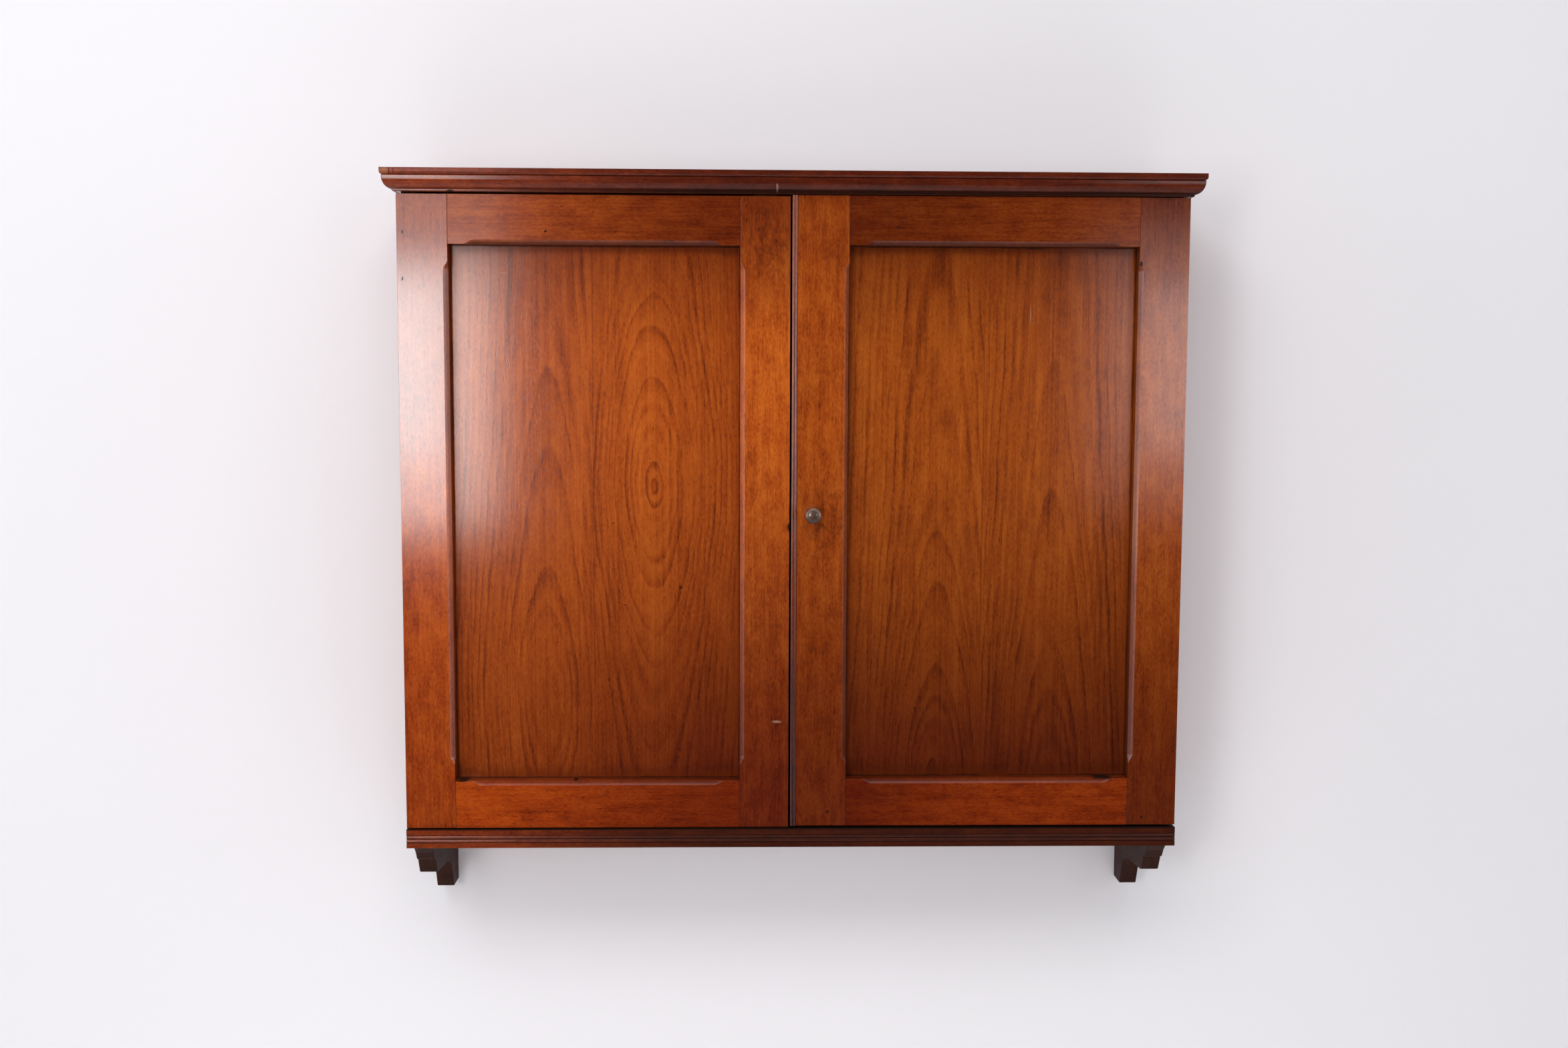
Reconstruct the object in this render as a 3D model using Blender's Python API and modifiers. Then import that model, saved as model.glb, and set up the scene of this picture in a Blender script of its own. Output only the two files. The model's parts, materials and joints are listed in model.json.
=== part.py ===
"""Polished-wood wall cabinet with a pair of framed and panelled doors, in metres, +Z up.

The wall is the plane Y = 0 and the doors face -Y. Heights in this script are measured up from the underside
of the base board. The finished cabinet hangs from one empty, which puts the centre of its back on the world
origin.
"""

import math

import bmesh
import bpy
from mathutils import Matrix, Vector

# Driving dimensions: carcass
CABINET_WIDTH = 0.864
DOOR_FRONT_DEPTH = 0.181
CLEAR_HEIGHT = 0.7025
SIDE_THICKNESS = 0.018
BACK_THICKNESS = 0.010
BACK_BOARD_COUNT = 5
BACK_LAP = 0.008
BACK_REBATE = 0.009
HANGING_RAIL_HEIGHT = 0.060
HANGING_RAIL_THICKNESS = 0.018
SHELF_THICKNESS = 0.016
SHELF_DEPTH = 0.128
LOWER_SHELF_HEIGHT = 0.250
UPPER_SHELF_HEIGHT = 0.486
CLEAT_SECTION = 0.016
CLEAT_SETBACK = 0.012

# Driving dimensions: base board, its reeded front edge, and the brackets under it
BASE_THICKNESS = 0.0212
BASE_PROUD = 0.003
BASE_UPPER_FILLET = 0.0066
BASE_LOWER_FILLET = 0.0056
BASE_REED_COUNT = 2
BRACKET_THICKNESS = 0.0205
BRACKET_INSET = 0.002
BRACKET_DROP = 0.094
BRACKET_SETBACK = 0.020
BRACKET_NECK = 0.016
NOSE_UPPER_HEIGHT = 0.009
NOSE_UPPER_RAKE = 0.006
NOSE_STEP_DEPTH = 0.0055
NOSE_STEP_DROP = 0.0018
NOSE_LOWER_HEIGHT = 0.0152
NOSE_LOWER_RAKE = 0.008
NOSE_ROUND_DEPTH = 0.008
NOSE_ROUND_DROP = 0.0043
UNDERSIDE_DEPTH = 0.0365
UNDERSIDE_DROP = 0.0037
COVE_DEPTH = 0.044
COVE_DROP = 0.018
FOOT_RAKE = 0.011

# Driving dimensions: carcass top, cornice moulding and top board
CARCASS_TOP_THICKNESS = 0.0162
TOP_BOARD_THICKNESS = 0.0072
TOP_OVERHANG = 0.0145
TOP_EDGE_ROUND = 0.0028
CORNICE_FILLET_HEIGHT = 0.0024
CORNICE_FILLET_PROUD = 0.0032
OVOLO_FOOT_PROUD = 0.0044
OVOLO_PROUD = 0.0128
OVOLO_HEIGHT = 0.013

# Driving dimensions: doors
DOOR_THICKNESS = 0.025
STILE_WIDTH = 0.0545
LATCH_STILE_WIDTH = 0.056
RAIL_WIDTH = 0.0532
MEETING_GAP = 0.002
MEETING_OFFSET = 0.0047
BEAD_WIDTH = 0.006
BEAD_PROUD = 0.0015
BEAD_REED_COUNT = 2
LEFT_DOOR_FOOT_GAP = 0.0010
LEFT_DOOR_HEAD_GAP = 0.0023
RIGHT_DOOR_FOOT_GAP = 0.0024
RIGHT_DOOR_HEAD_GAP = 0.0009
PANEL_RECESS = 0.015
PANEL_THICKNESS = 0.0061
PANEL_PLAY = 0.002
GROOVE_DEPTH = 0.009
CHAMFER_WIDTH = 0.0048
CHAMFER_STOP = 0.017
CHAMFER_RUNOUT = 0.011

# Driving dimensions: hinges
HINGE_HEIGHT = 0.050
HINGE_LEAF_WIDTH = 0.0155
HINGE_LEAF_THICKNESS = 0.0013
HINGE_KNUCKLE_COUNT = 5
KNUCKLE_RADIUS = 0.0026
HINGE_PIN_RADIUS = 0.0012
PIN_CLEARANCE = 0.0002
HINGE_FROM_DOOR_END = 0.085

# Driving dimensions: knob and latch
KNOB_SETBACK = 0.0238
KNOB_HEIGHT = 0.375
KNOB_RADIUS = 0.0088
KNOB_DOME_RISE = 0.004
KNOB_UNDERSIDE = 0.008
KNOB_PROJECTION = 0.0225
KNOB_NECK_RADIUS = 0.0036
KNOB_FOOT_RADIUS = 0.0052
KNOB_FOOT_HEIGHT = 0.0014
ROSE_RADIUS = 0.0072
ROSE_THICKNESS = 0.0014
SHANK_RADIUS = 0.0025
SHANK_CLEARANCE = 0.0004
SHANK_END = 0.001
LATCH_PLATE_WIDTH = 0.024
LATCH_PLATE_HEIGHT = 0.044
PLATE_THICKNESS = 0.0012
TONGUE_THICKNESS = 0.002
TONGUE_EYE_RADIUS = 0.0068
TONGUE_TIP_RADIUS = 0.0042
TONGUE_OVERLAP = 0.012
NUT_RADIUS = 0.0055
NUT_THICKNESS = 0.0035
STRIKE_WIDTH = 0.022
STRIKE_HEIGHT = 0.040
STRIKE_SETBACK = 0.001

# Driving dimensions: bolt on the left door
BOLT_RADIUS = 0.003
BOLT_TRAVEL = 0.012
BOLT_REACH = 0.002
BOLT_TAIL = 0.007
BOLT_LIFT = 0.001
BOLT_CLEARANCE = 0.0003
BUTTON_RADIUS = 0.0032
BUTTON_LENGTH = 0.004
GUIDE_WIDTH = 0.013
GUIDE_HEIGHT = 0.008
GUIDE_WALL = 0.002
GUIDE_FROM_DOOR_HEAD = 0.020
BOLT_PLATE_WIDTH = 0.022
BOLT_PLATE_MARGIN = 0.006
KEEPER_WIDTH = 0.026
KEEPER_DEPTH = 0.0100
BOLT_HOLE_DEPTH = 0.013

# Clearances, and how finely round shapes are drawn
FIT_GAP = 0.0003
CUTTER_MARGIN = 0.002
MERGE_DISTANCE = 0.000001
REED_ANGLE = math.radians(72)
REED_STEPS = 6
CURVE_STEPS = 6
ROUND_STEPS = 20
TURNED_STEPS = 28
TOP_EDGE_STEPS = 3
NUT_SIDES = 6
SMOOTH_ANGLE = math.radians(40)

# Places that follow from the driving dimensions
HALF_WIDTH = CABINET_WIDTH / 2
INNER_HALF = HALF_WIDTH - SIDE_THICKNESS
DOOR_FRONT = -DOOR_FRONT_DEPTH
DOOR_BACK = DOOR_FRONT + DOOR_THICKNESS
SIDE_FRONT = DOOR_BACK + FIT_GAP
BASE_FRONT = DOOR_FRONT - BASE_PROUD
BACK_FRONT = -BACK_THICKNESS - FIT_GAP
TOP_UNDERSIDE = BASE_THICKNESS + CLEAR_HEIGHT
MOULDING_TOP = TOP_UNDERSIDE + CARCASS_TOP_THICKNESS
TOP_BOARD_FOOT = MOULDING_TOP + FIT_GAP
CABINET_TOP = TOP_BOARD_FOOT + TOP_BOARD_THICKNESS
GROOVE_FRONT = DOOR_FRONT + PANEL_RECESS
GROOVE_BACK = GROOVE_FRONT + PANEL_THICKNESS + 2 * FIT_GAP
PIVOT_X = HALF_WIDTH + KNUCKLE_RADIUS + FIT_GAP
PIVOT_Y = (DOOR_BACK + SIDE_FRONT) / 2
LEFT_DOOR_EDGE = -MEETING_OFFSET - MEETING_GAP / 2
RIGHT_DOOR_EDGE = -MEETING_OFFSET + MEETING_GAP / 2
LATCH_STILE_EDGE = RIGHT_DOOR_EDGE + BEAD_WIDTH + FIT_GAP
KNOB_X = RIGHT_DOOR_EDGE + KNOB_SETBACK
PLATE_FRONT = DOOR_BACK + FIT_GAP
PLATE_BACK = PLATE_FRONT + PLATE_THICKNESS
BOLT_X = LEFT_DOOR_EDGE - STILE_WIDTH / 2
BOLT_Y = PLATE_BACK + BOLT_LIFT + BOLT_RADIUS
LEFT_DOOR_HEAD = TOP_UNDERSIDE - LEFT_DOOR_HEAD_GAP

# Colour, roughness and metallic value of each finish
FINISHES = {
    "polished wood": ((0.34, 0.075, 0.013), 0.35, 0.0),
    "panel wood": ((0.30, 0.066, 0.011), 0.35, 0.0),
    "moulding wood": ((0.14, 0.032, 0.011), 0.35, 0.0),
    "dark wood": ((0.050, 0.018, 0.011), 0.40, 0.0),
    "inside wood": ((0.36, 0.20, 0.09), 0.70, 0.0),
    "dark metal": ((0.16, 0.13, 0.11), 0.35, 1.0),
    "brass": ((0.52, 0.36, 0.14), 0.40, 1.0),
    "steel": ((0.35, 0.34, 0.33), 0.45, 1.0),
}

# A flat outline lies in the plane square to the axis that it is extruded along
AXIS_TURN = {"X": (math.pi / 2, 0, math.pi / 2), "Y": (math.pi / 2, 0, 0), "Z": (0, 0, 0)}


def clear_scene():
    for old in list(bpy.data.objects):
        bpy.data.objects.remove(old, do_unlink=True)


def new_collection(name):
    collection = bpy.data.collections.new(name)
    bpy.context.scene.collection.children.link(collection)
    return collection


class Carrier:
    """An empty that pieces hang from, with its place in the cabinet's coordinates."""

    def __init__(self, name, place, parent=None, offset=(0, 0, 0)):
        self.place = Vector(place)
        self.empty = bpy.data.objects.new(name, None)
        PARTS.objects.link(self.empty)
        if parent is None:
            self.empty.location = Vector(offset)
        else:
            self.empty.parent = parent.empty
            self.empty.location = self.place - parent.place

    def carry(self, piece, place):
        piece.parent = self.empty
        piece.location = Vector(place) - self.place


def add_piece(name, mesh, finish, carrier, place, turn=(0, 0, 0)):
    colour, roughness, metallic = FINISHES[finish]
    material = bpy.data.materials.new(name)
    material.use_nodes = True
    shader = material.node_tree.nodes["Principled BSDF"]
    shader.inputs["Base Color"].default_value = (*colour, 1)
    shader.inputs["Roughness"].default_value = roughness
    shader.inputs["Metallic"].default_value = metallic
    mesh.materials.clear()
    mesh.materials.append(material)
    piece = bpy.data.objects.new(name, mesh)
    PARTS.objects.link(piece)
    piece.rotation_euler = turn
    carrier.carry(piece, place)
    return piece


def add_cutter(name, mesh, carrier, place, turn=(0, 0, 0)):
    cutter = bpy.data.objects.new(name, mesh)
    CUTTERS.objects.link(cutter)
    cutter.hide_render = True
    cutter.display_type = "WIRE"
    cutter.rotation_euler = turn
    carrier.carry(cutter, place)
    return cutter


def apply_shape(piece, tool, operation):
    modifier = piece.modifiers.new(tool.name, "BOOLEAN")
    modifier.operation = operation
    modifier.solver = "EXACT"
    modifier.object = tool


def cut(piece, tool):
    apply_shape(piece, tool, "DIFFERENCE")


def join(piece, tool):
    apply_shape(piece, tool, "UNION")


def finish_mesh(shape, name):
    bmesh.ops.remove_doubles(shape, verts=shape.verts, dist=MERGE_DISTANCE)
    bmesh.ops.recalc_face_normals(shape, faces=shape.faces)
    mesh = bpy.data.meshes.new(name)
    shape.to_mesh(mesh)
    shape.free()
    return mesh


def box_mesh(name, boxes):
    """Boxes between pairs of opposite corners."""
    shape = bmesh.new()
    for low, high in boxes:
        low = Vector(low)
        high = Vector(high)
        size = Matrix.Diagonal((*(high - low), 1))
        middle = Matrix.Translation((low + high) / 2)
        bmesh.ops.create_cube(shape, size=1, matrix=middle @ size)
    return finish_mesh(shape, name)


def rod_mesh(name, radius, length, steps=ROUND_STEPS):
    """A round rod along Z with its lower end at the origin."""
    shape = bmesh.new()
    bmesh.ops.create_cone(
        shape,
        cap_ends=True,
        segments=steps,
        radius1=radius,
        radius2=radius,
        depth=length,
        matrix=Matrix.Translation((0, 0, length / 2)),
    )
    mesh = finish_mesh(shape, name)
    shade_round(mesh)
    return mesh


def shade_round(mesh):
    mesh.shade_smooth()
    mesh.set_sharp_from_angle(angle=SMOOTH_ANGLE)


def outline_mesh(name, outlines, length, rounded):
    """Closed flat outlines, the first outside and the others holes, extruded evenly to both sides."""
    curve = bpy.data.curves.new(name, "CURVE")
    curve.dimensions = "2D"
    curve.fill_mode = "BOTH"
    curve.extrude = length / 2
    for outline in outlines:
        spline = curve.splines.new("POLY")
        spline.points.add(len(outline) - 1)
        for point, (u, v) in zip(spline.points, outline):
            point.co = (u, v, 0, 1)
        spline.use_cyclic_u = True
    drawn = bpy.data.objects.new(name, curve)
    CUTTERS.objects.link(drawn)
    bpy.context.view_layer.update()
    made = bpy.data.meshes.new_from_object(drawn.evaluated_get(bpy.context.evaluated_depsgraph_get()))
    bpy.data.objects.remove(drawn)
    bpy.data.curves.remove(curve)
    shape = bmesh.new()
    shape.from_mesh(made)
    bpy.data.meshes.remove(made)
    mesh = finish_mesh(shape, name)
    if rounded:
        shade_round(mesh)
    return mesh


def extrusion(name, axis, start, end, outline, finish, carrier, holes=(), rounded=False):
    """A piece of one section, outlined in cabinet coordinates, with its origin at the first point."""
    u0, v0 = outline[0]
    local = [[(u - u0, v - v0) for u, v in ring] for ring in (outline, *holes)]
    mesh = outline_mesh(name, local, end - start, rounded)
    middle = (start + end) / 2
    place = {"X": (middle, u0, v0), "Y": (u0, middle, v0), "Z": (u0, v0, middle)}[axis]
    return add_piece(name, mesh, finish, carrier, place, AXIS_TURN[axis])


def board(name, low, high, finish, carrier):
    middle = (Vector(low) + Vector(high)) / 2
    mesh = box_mesh(name, [(Vector(low) - middle, Vector(high) - middle)])
    return add_piece(name, mesh, finish, carrier, middle)


def box_cutter(name, boxes, carrier):
    return add_cutter(name, box_mesh(name, boxes), carrier, (0, 0, 0))


def arc(centre, radii, start, end, steps):
    """Points on an ellipse from one angle to another, both ends included."""
    points = []
    for i in range(steps + 1):
        angle = start + (end - start) * i / steps
        points.append((centre[0] + radii[0] * math.cos(angle), centre[1] + radii[1] * math.sin(angle)))
    return points


def circle(centre, radius, steps=ROUND_STEPS):
    return arc(centre, (radius, radius), 0, 2 * math.pi * (steps - 1) / steps, steps - 1)


def rectangle(low, high):
    return [(low[0], low[1]), (high[0], low[1]), (high[0], high[1]), (low[0], high[1])]


def reeds(front, low, high, count):
    """Points up a row of rounded reeds, as (depth, height), with their crowns at the depth front."""
    radius = (high - low) / count / 2
    points = []
    for i in range(count):
        centre = (front + radius, low + radius * (2 * i + 1))
        points += arc(centre, (-radius, radius), -REED_ANGLE, REED_ANGLE, REED_STEPS)
    return points


def add_sides(cabinet):
    for name, hand in (("side_left", -1), ("side_right", 1)):
        outer = hand * HALF_WIDTH
        inner = hand * INNER_HALF
        rebate = hand * (INNER_HALF + BACK_REBATE)
        section = [
            (outer, 0),
            (outer, SIDE_FRONT),
            (inner, SIDE_FRONT),
            (inner, BACK_FRONT),
            (rebate, BACK_FRONT),
            (rebate, 0),
        ]
        foot = BASE_THICKNESS + FIT_GAP
        head = TOP_UNDERSIDE - FIT_GAP
        yield hand, extrusion(name, "Z", foot, head, section, "polished wood", cabinet)


def add_base(cabinet):
    front = BASE_FRONT
    fillet = BASE_THICKNESS - BASE_UPPER_FILLET
    section = [(0, BASE_THICKNESS), (0, 0), (front, 0), (front, BASE_LOWER_FILLET)]
    section += reeds(front, BASE_LOWER_FILLET, fillet, BASE_REED_COUNT)
    section += [(front, fillet), (front, BASE_THICKNESS)]
    finish = "moulding wood"
    extrusion("base_board", "X", -HALF_WIDTH, HALF_WIDTH, section, finish, cabinet, rounded=True)


def bracket_outline():
    """Side view of a bracket as (depth, height): sloped neck, stepped nose, cove and a foot on the wall."""
    points = [(0, -FIT_GAP), (BASE_FRONT + BRACKET_SETBACK, -FIT_GAP)]

    def on(back, down):
        points.append((points[-1][0] + back, points[-1][1] - down))

    on(BRACKET_NECK, BRACKET_NECK)
    on(NOSE_UPPER_RAKE, NOSE_UPPER_HEIGHT)
    on(NOSE_STEP_DEPTH, NOSE_STEP_DROP)
    on(NOSE_LOWER_RAKE, NOSE_LOWER_HEIGHT)
    depth, height = points[-1]
    round_centre = (depth + NOSE_ROUND_DEPTH, height)
    points += arc(round_centre, (-NOSE_ROUND_DEPTH, -NOSE_ROUND_DROP), 0, math.pi / 2, CURVE_STEPS)[1:]
    on(UNDERSIDE_DEPTH, UNDERSIDE_DROP)
    depth, height = points[-1]
    cove_centre = (depth, height - COVE_DROP)
    points += arc(cove_centre, (COVE_DEPTH, COVE_DROP), math.pi / 2, 0, CURVE_STEPS)[1:]
    points += [(points[-1][0] + FOOT_RAKE, -BRACKET_DROP), (0, -BRACKET_DROP)]
    return points


def add_brackets(cabinet):
    outer = HALF_WIDTH - BRACKET_INSET
    inner = outer - BRACKET_THICKNESS
    extrusion("bracket_left", "X", -outer, -inner, bracket_outline(), "dark wood", cabinet, rounded=True)
    extrusion("bracket_right", "X", inner, outer, bracket_outline(), "dark wood", cabinet, rounded=True)


def add_top(cabinet):
    low = (-HALF_WIDTH, DOOR_FRONT, TOP_UNDERSIDE)
    high = (HALF_WIDTH, 0, MOULDING_TOP)
    carcass_top = board("carcass_top", low, high, "polished wood", cabinet)
    hole = rod_mesh("bolt_hole", BOLT_RADIUS + 2 * BOLT_CLEARANCE, BOLT_HOLE_DEPTH + CUTTER_MARGIN)
    hole_place = (BOLT_X, BOLT_Y, TOP_UNDERSIDE - CUTTER_MARGIN)
    cut(carcass_top, add_cutter("bolt_hole", hole, cabinet, hole_place))
    out = HALF_WIDTH + TOP_OVERHANG
    low = (-out, DOOR_FRONT - TOP_OVERHANG, TOP_BOARD_FOOT)
    high = (out, 0, CABINET_TOP)
    top_board = board("top_board", low, high, "moulding wood", cabinet)
    round_lower_edges(top_board)


def round_lower_edges(piece):
    """Round the lower edge of a board on its front and sides, leaving the edge at the wall square."""
    mesh = piece.data
    weights = mesh.attributes.new("bevel_weight_edge", "FLOAT", "EDGE")
    wall = max(vertex.co.y for vertex in mesh.vertices)
    for edge in mesh.edges:
        ends = [mesh.vertices[i].co for i in edge.vertices]
        if all(end.z < 0 for end in ends) and not all(end.y == wall for end in ends):
            weights.data[edge.index].value = 1
    bevel = piece.modifiers.new("lower_edge", "BEVEL")
    bevel.limit_method = "WEIGHT"
    bevel.width = TOP_EDGE_ROUND
    bevel.segments = TOP_EDGE_STEPS


def moulding_outline():
    """Section of the cornice as (how far it stands out, height): fillet below, ovolo above."""
    step = TOP_UNDERSIDE + CORNICE_FILLET_HEIGHT
    crown = step + OVOLO_HEIGHT
    ovolo_centre = (OVOLO_FOOT_PROUD, crown)
    ovolo_radii = (OVOLO_PROUD - OVOLO_FOOT_PROUD, OVOLO_HEIGHT)
    fillet = CORNICE_FILLET_PROUD
    points = [(FIT_GAP, TOP_UNDERSIDE), (fillet, TOP_UNDERSIDE), (fillet, step)]
    points += arc(ovolo_centre, ovolo_radii, -math.pi / 2, 0, CURVE_STEPS)
    return points + [(OVOLO_PROUD, MOULDING_TOP), (FIT_GAP, MOULDING_TOP)]


def add_cornice(cabinet):
    """The front length and the two returns, mitred by sliding each end point as far as it stands out."""
    mitre_gap = FIT_GAP / 2 * math.sqrt(2)
    front_section = [(DOOR_FRONT - proud, height) for proud, height in moulding_outline()]
    finish = "moulding wood"
    front = extrusion(
        "cornice_front", "X", -HALF_WIDTH, HALF_WIDTH, front_section, finish, cabinet, rounded=True
    )
    back_line = front_section[0][0]
    for vertex in front.data.vertices:
        proud = DOOR_FRONT - (back_line + vertex.co.x)
        vertex.co.z = math.copysign(HALF_WIDTH + proud - mitre_gap, vertex.co.z)
    for name, hand in (("cornice_left", -1), ("cornice_right", 1)):
        section = [(hand * (HALF_WIDTH + proud), height) for proud, height in moulding_outline()]
        side = extrusion(name, "Y", DOOR_FRONT, 0, section, finish, cabinet, rounded=True)
        for vertex in side.data.vertices:
            if vertex.co.z > 0:
                proud = hand * (section[0][0] + vertex.co.x) - HALF_WIDTH
                vertex.co.z += proud - mitre_gap


def add_back(cabinet):
    """Upright boards in the rebates of the sides, each lapped half its thickness over the next."""
    edge = INNER_HALF + BACK_REBATE - FIT_GAP
    pitch = 2 * edge / BACK_BOARD_COUNT
    wall_half = -(BACK_THICKNESS - FIT_GAP) / 2
    room_half = -(BACK_THICKNESS + FIT_GAP) / 2
    for i in range(BACK_BOARD_COUNT):
        left = -edge + i * pitch
        right = left + pitch
        first = i == 0
        last = i == BACK_BOARD_COUNT - 1
        left_wall = left if first else left + BACK_LAP / 2 + FIT_GAP
        left_room = left if first else left - BACK_LAP / 2 + FIT_GAP
        right_wall = right if last else right + BACK_LAP / 2
        right_room = right if last else right - BACK_LAP / 2
        section = [(left_wall, 0), (right_wall, 0)]
        if not last:
            section += [(right_wall, wall_half), (right_room, wall_half)]
        section += [(right_room, -BACK_THICKNESS), (left_room, -BACK_THICKNESS)]
        if not first:
            section += [(left_room, room_half), (left_wall, room_half)]
        foot = BASE_THICKNESS + FIT_GAP
        head = TOP_UNDERSIDE - FIT_GAP
        extrusion(f"back_board_{i + 1}", "Z", foot, head, section, "inside wood", cabinet)


def add_inside(cabinet):
    reach = INNER_HALF - FIT_GAP
    rail_head = TOP_UNDERSIDE - FIT_GAP
    rail_low = (-reach, BACK_FRONT - HANGING_RAIL_THICKNESS, rail_head - HANGING_RAIL_HEIGHT)
    board("hanging_rail", rail_low, (reach, BACK_FRONT, rail_head), "inside wood", cabinet)
    shelf_front = BACK_FRONT - SHELF_DEPTH
    for level, foot in (("lower", LOWER_SHELF_HEIGHT), ("upper", UPPER_SHELF_HEIGHT)):
        high = (reach, BACK_FRONT, foot + SHELF_THICKNESS)
        board(f"shelf_{level}", (-reach, shelf_front, foot), high, "inside wood", cabinet)
        cleat_head = foot - FIT_GAP
        cleat_foot = cleat_head - CLEAT_SECTION
        cleat_front = shelf_front + CLEAT_SETBACK
        for side, low_x, high_x in (
            ("left", -reach, -reach + CLEAT_SECTION),
            ("right", reach - CLEAT_SECTION, reach),
        ):
            board(
                f"cleat_{level}_{side}",
                (low_x, cleat_front, cleat_foot),
                (high_x, BACK_FRONT, cleat_head),
                "inside wood",
                cabinet,
            )


def grooved_outline(outer, inner):
    """Section of a door member as (position, depth), from its outer edge to the grooved inner edge."""
    floor = inner + math.copysign(GROOVE_DEPTH, outer - inner)
    return [
        (outer, DOOR_FRONT),
        (inner, DOOR_FRONT),
        (inner, GROOVE_FRONT),
        (floor, GROOVE_FRONT),
        (floor, GROOVE_BACK),
        (inner, GROOVE_BACK),
        (inner, DOOR_BACK),
        (outer, DOOR_BACK),
    ]


def chamfer_cutter(name, start, along, inward, length, carrier):
    """Cuts a stopped chamfer on an edge: its depth eases in and out at both ends of the opening."""
    depth = CHAMFER_WIDTH / math.sqrt(2)
    first = CHAMFER_STOP
    last = length - CHAMFER_STOP
    points = [(last, -CUTTER_MARGIN), (first, -CUTTER_MARGIN)]
    for i in range(CURVE_STEPS + 1):
        ease = (1 - math.cos(math.pi * i / CURVE_STEPS)) / 2
        points.append((first + CHAMFER_RUNOUT * i / CURVE_STEPS, depth * ease))
    for i in range(CURVE_STEPS + 1):
        ease = (1 + math.cos(math.pi * i / CURVE_STEPS)) / 2
        points.append((last - CHAMFER_RUNOUT * (1 - i / CURVE_STEPS), depth * ease))
    mesh = outline_mesh(name, [points], 2 * (CHAMFER_WIDTH + CUTTER_MARGIN), rounded=True)
    along = Vector(along)
    inward = Vector(inward).normalized()
    axes = Matrix((along, inward, along.cross(inward))).transposed()
    return add_cutter(name, mesh, carrier, start, axes.to_euler())


def add_door_frame(side, hand, meeting_edge, meeting_width, foot, head, door):
    """Stiles, rails with tongues in the stiles' grooves, and a panel. hand is 1 for hinges at +X."""
    outer = hand * HALF_WIDTH
    hinge_inner = outer - hand * STILE_WIDTH
    meeting_inner = meeting_edge + hand * meeting_width
    low_x = min(hinge_inner, meeting_inner)
    high_x = max(hinge_inner, meeting_inner)
    opening_foot = foot + RAIL_WIDTH
    opening_head = head - RAIL_WIDTH
    stiles = {}
    for role, edge, inner in (("hinge", outer, hinge_inner), ("meeting", meeting_edge, meeting_inner)):
        name = f"{side}_{role}_stile"
        stile = extrusion(name, "Z", foot, head, grooved_outline(edge, inner), "polished wood", door)
        into = (math.copysign(1, edge - inner), 1, 0)
        start = (inner, DOOR_FRONT, opening_foot)
        length = opening_head - opening_foot
        cut(stile, chamfer_cutter(f"{name}_chamfer", start, (0, 0, 1), into, length, door))
        stiles[role] = stile
    tongue = GROOVE_DEPTH - FIT_GAP
    for role, edge, inner in (("top", head, opening_head), ("bottom", foot, opening_foot)):
        name = f"{side}_{role}_rail"
        section = [(depth, height) for height, depth in grooved_outline(edge, inner)]
        rail = extrusion(name, "X", low_x + FIT_GAP, high_x - FIT_GAP, section, "polished wood", door)
        outward = math.copysign(1, edge - inner)
        tongue_ends = sorted((edge - outward * FIT_GAP, inner + outward * (GROOVE_DEPTH + FIT_GAP)))
        tongue_low = (low_x - tongue, GROOVE_FRONT + FIT_GAP, tongue_ends[0])
        tongue_high = (high_x + tongue, GROOVE_BACK - FIT_GAP, tongue_ends[1])
        join(rail, box_cutter(f"{name}_tongues", [(tongue_low, tongue_high)], door))
        start = (low_x, DOOR_FRONT, inner)
        into = (0, 1, outward)
        cut(rail, chamfer_cutter(f"{name}_chamfer", start, (1, 0, 0), into, high_x - low_x, door))
    held = GROOVE_DEPTH - PANEL_PLAY
    panel_front = GROOVE_FRONT + FIT_GAP
    panel_low = (low_x - held, panel_front, opening_foot - held)
    panel_high = (high_x + held, panel_front + PANEL_THICKNESS, opening_head + held)
    board(f"{side}_panel", panel_low, panel_high, "panel wood", door)
    return stiles


def hinge_leaf(name, hand, to_wall, foot, kept, carrier):
    """A leaf with its knuckles. hand is 1 at +X, to_wall is 1 for the carcass leaf and -1 for the door's."""
    near = FIT_GAP / 2
    far = near + HINGE_LEAF_THICKNESS
    tip = KNUCKLE_RADIUS + FIT_GAP + HINGE_LEAF_WIDTH
    ring = arc(
        (0, 0),
        (KNUCKLE_RADIUS, KNUCKLE_RADIUS),
        math.asin(near / KNUCKLE_RADIUS),
        math.asin(far / KNUCKLE_RADIUS) - 2 * math.pi,
        ROUND_STEPS,
    )
    outline = [(tip, far), (tip, near)] + ring
    hole = circle((0, 0), HINGE_PIN_RADIUS + PIN_CLEARANCE)
    pivot = (hand * PIVOT_X, PIVOT_Y)

    def placed(points):
        return [(pivot[0] - hand * u, pivot[1] + to_wall * v) for u, v in points]

    section = placed(outline)
    head = foot + HINGE_HEIGHT
    leaf = extrusion(name, "Z", foot, head, section, "brass", carrier, [placed(hole)], rounded=True)
    pitch = HINGE_HEIGHT / HINGE_KNUCKLE_COUNT
    clear = KNUCKLE_RADIUS + CUTTER_MARGIN
    sides = sorted((hand * HALF_WIDTH, pivot[0] + hand * clear))
    gaps = []
    for i in range(HINGE_KNUCKLE_COUNT):
        if i % 2 != kept:
            low = foot + i * pitch - (FIT_GAP / 2 if i else CUTTER_MARGIN)
            high = foot + (i + 1) * pitch + (FIT_GAP / 2 if i < HINGE_KNUCKLE_COUNT - 1 else CUTTER_MARGIN)
            gaps.append(((sides[0], pivot[1] - clear, low), (sides[1], pivot[1] + clear, high)))
    cut(leaf, box_cutter(f"{name}_gaps", gaps, carrier))


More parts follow.
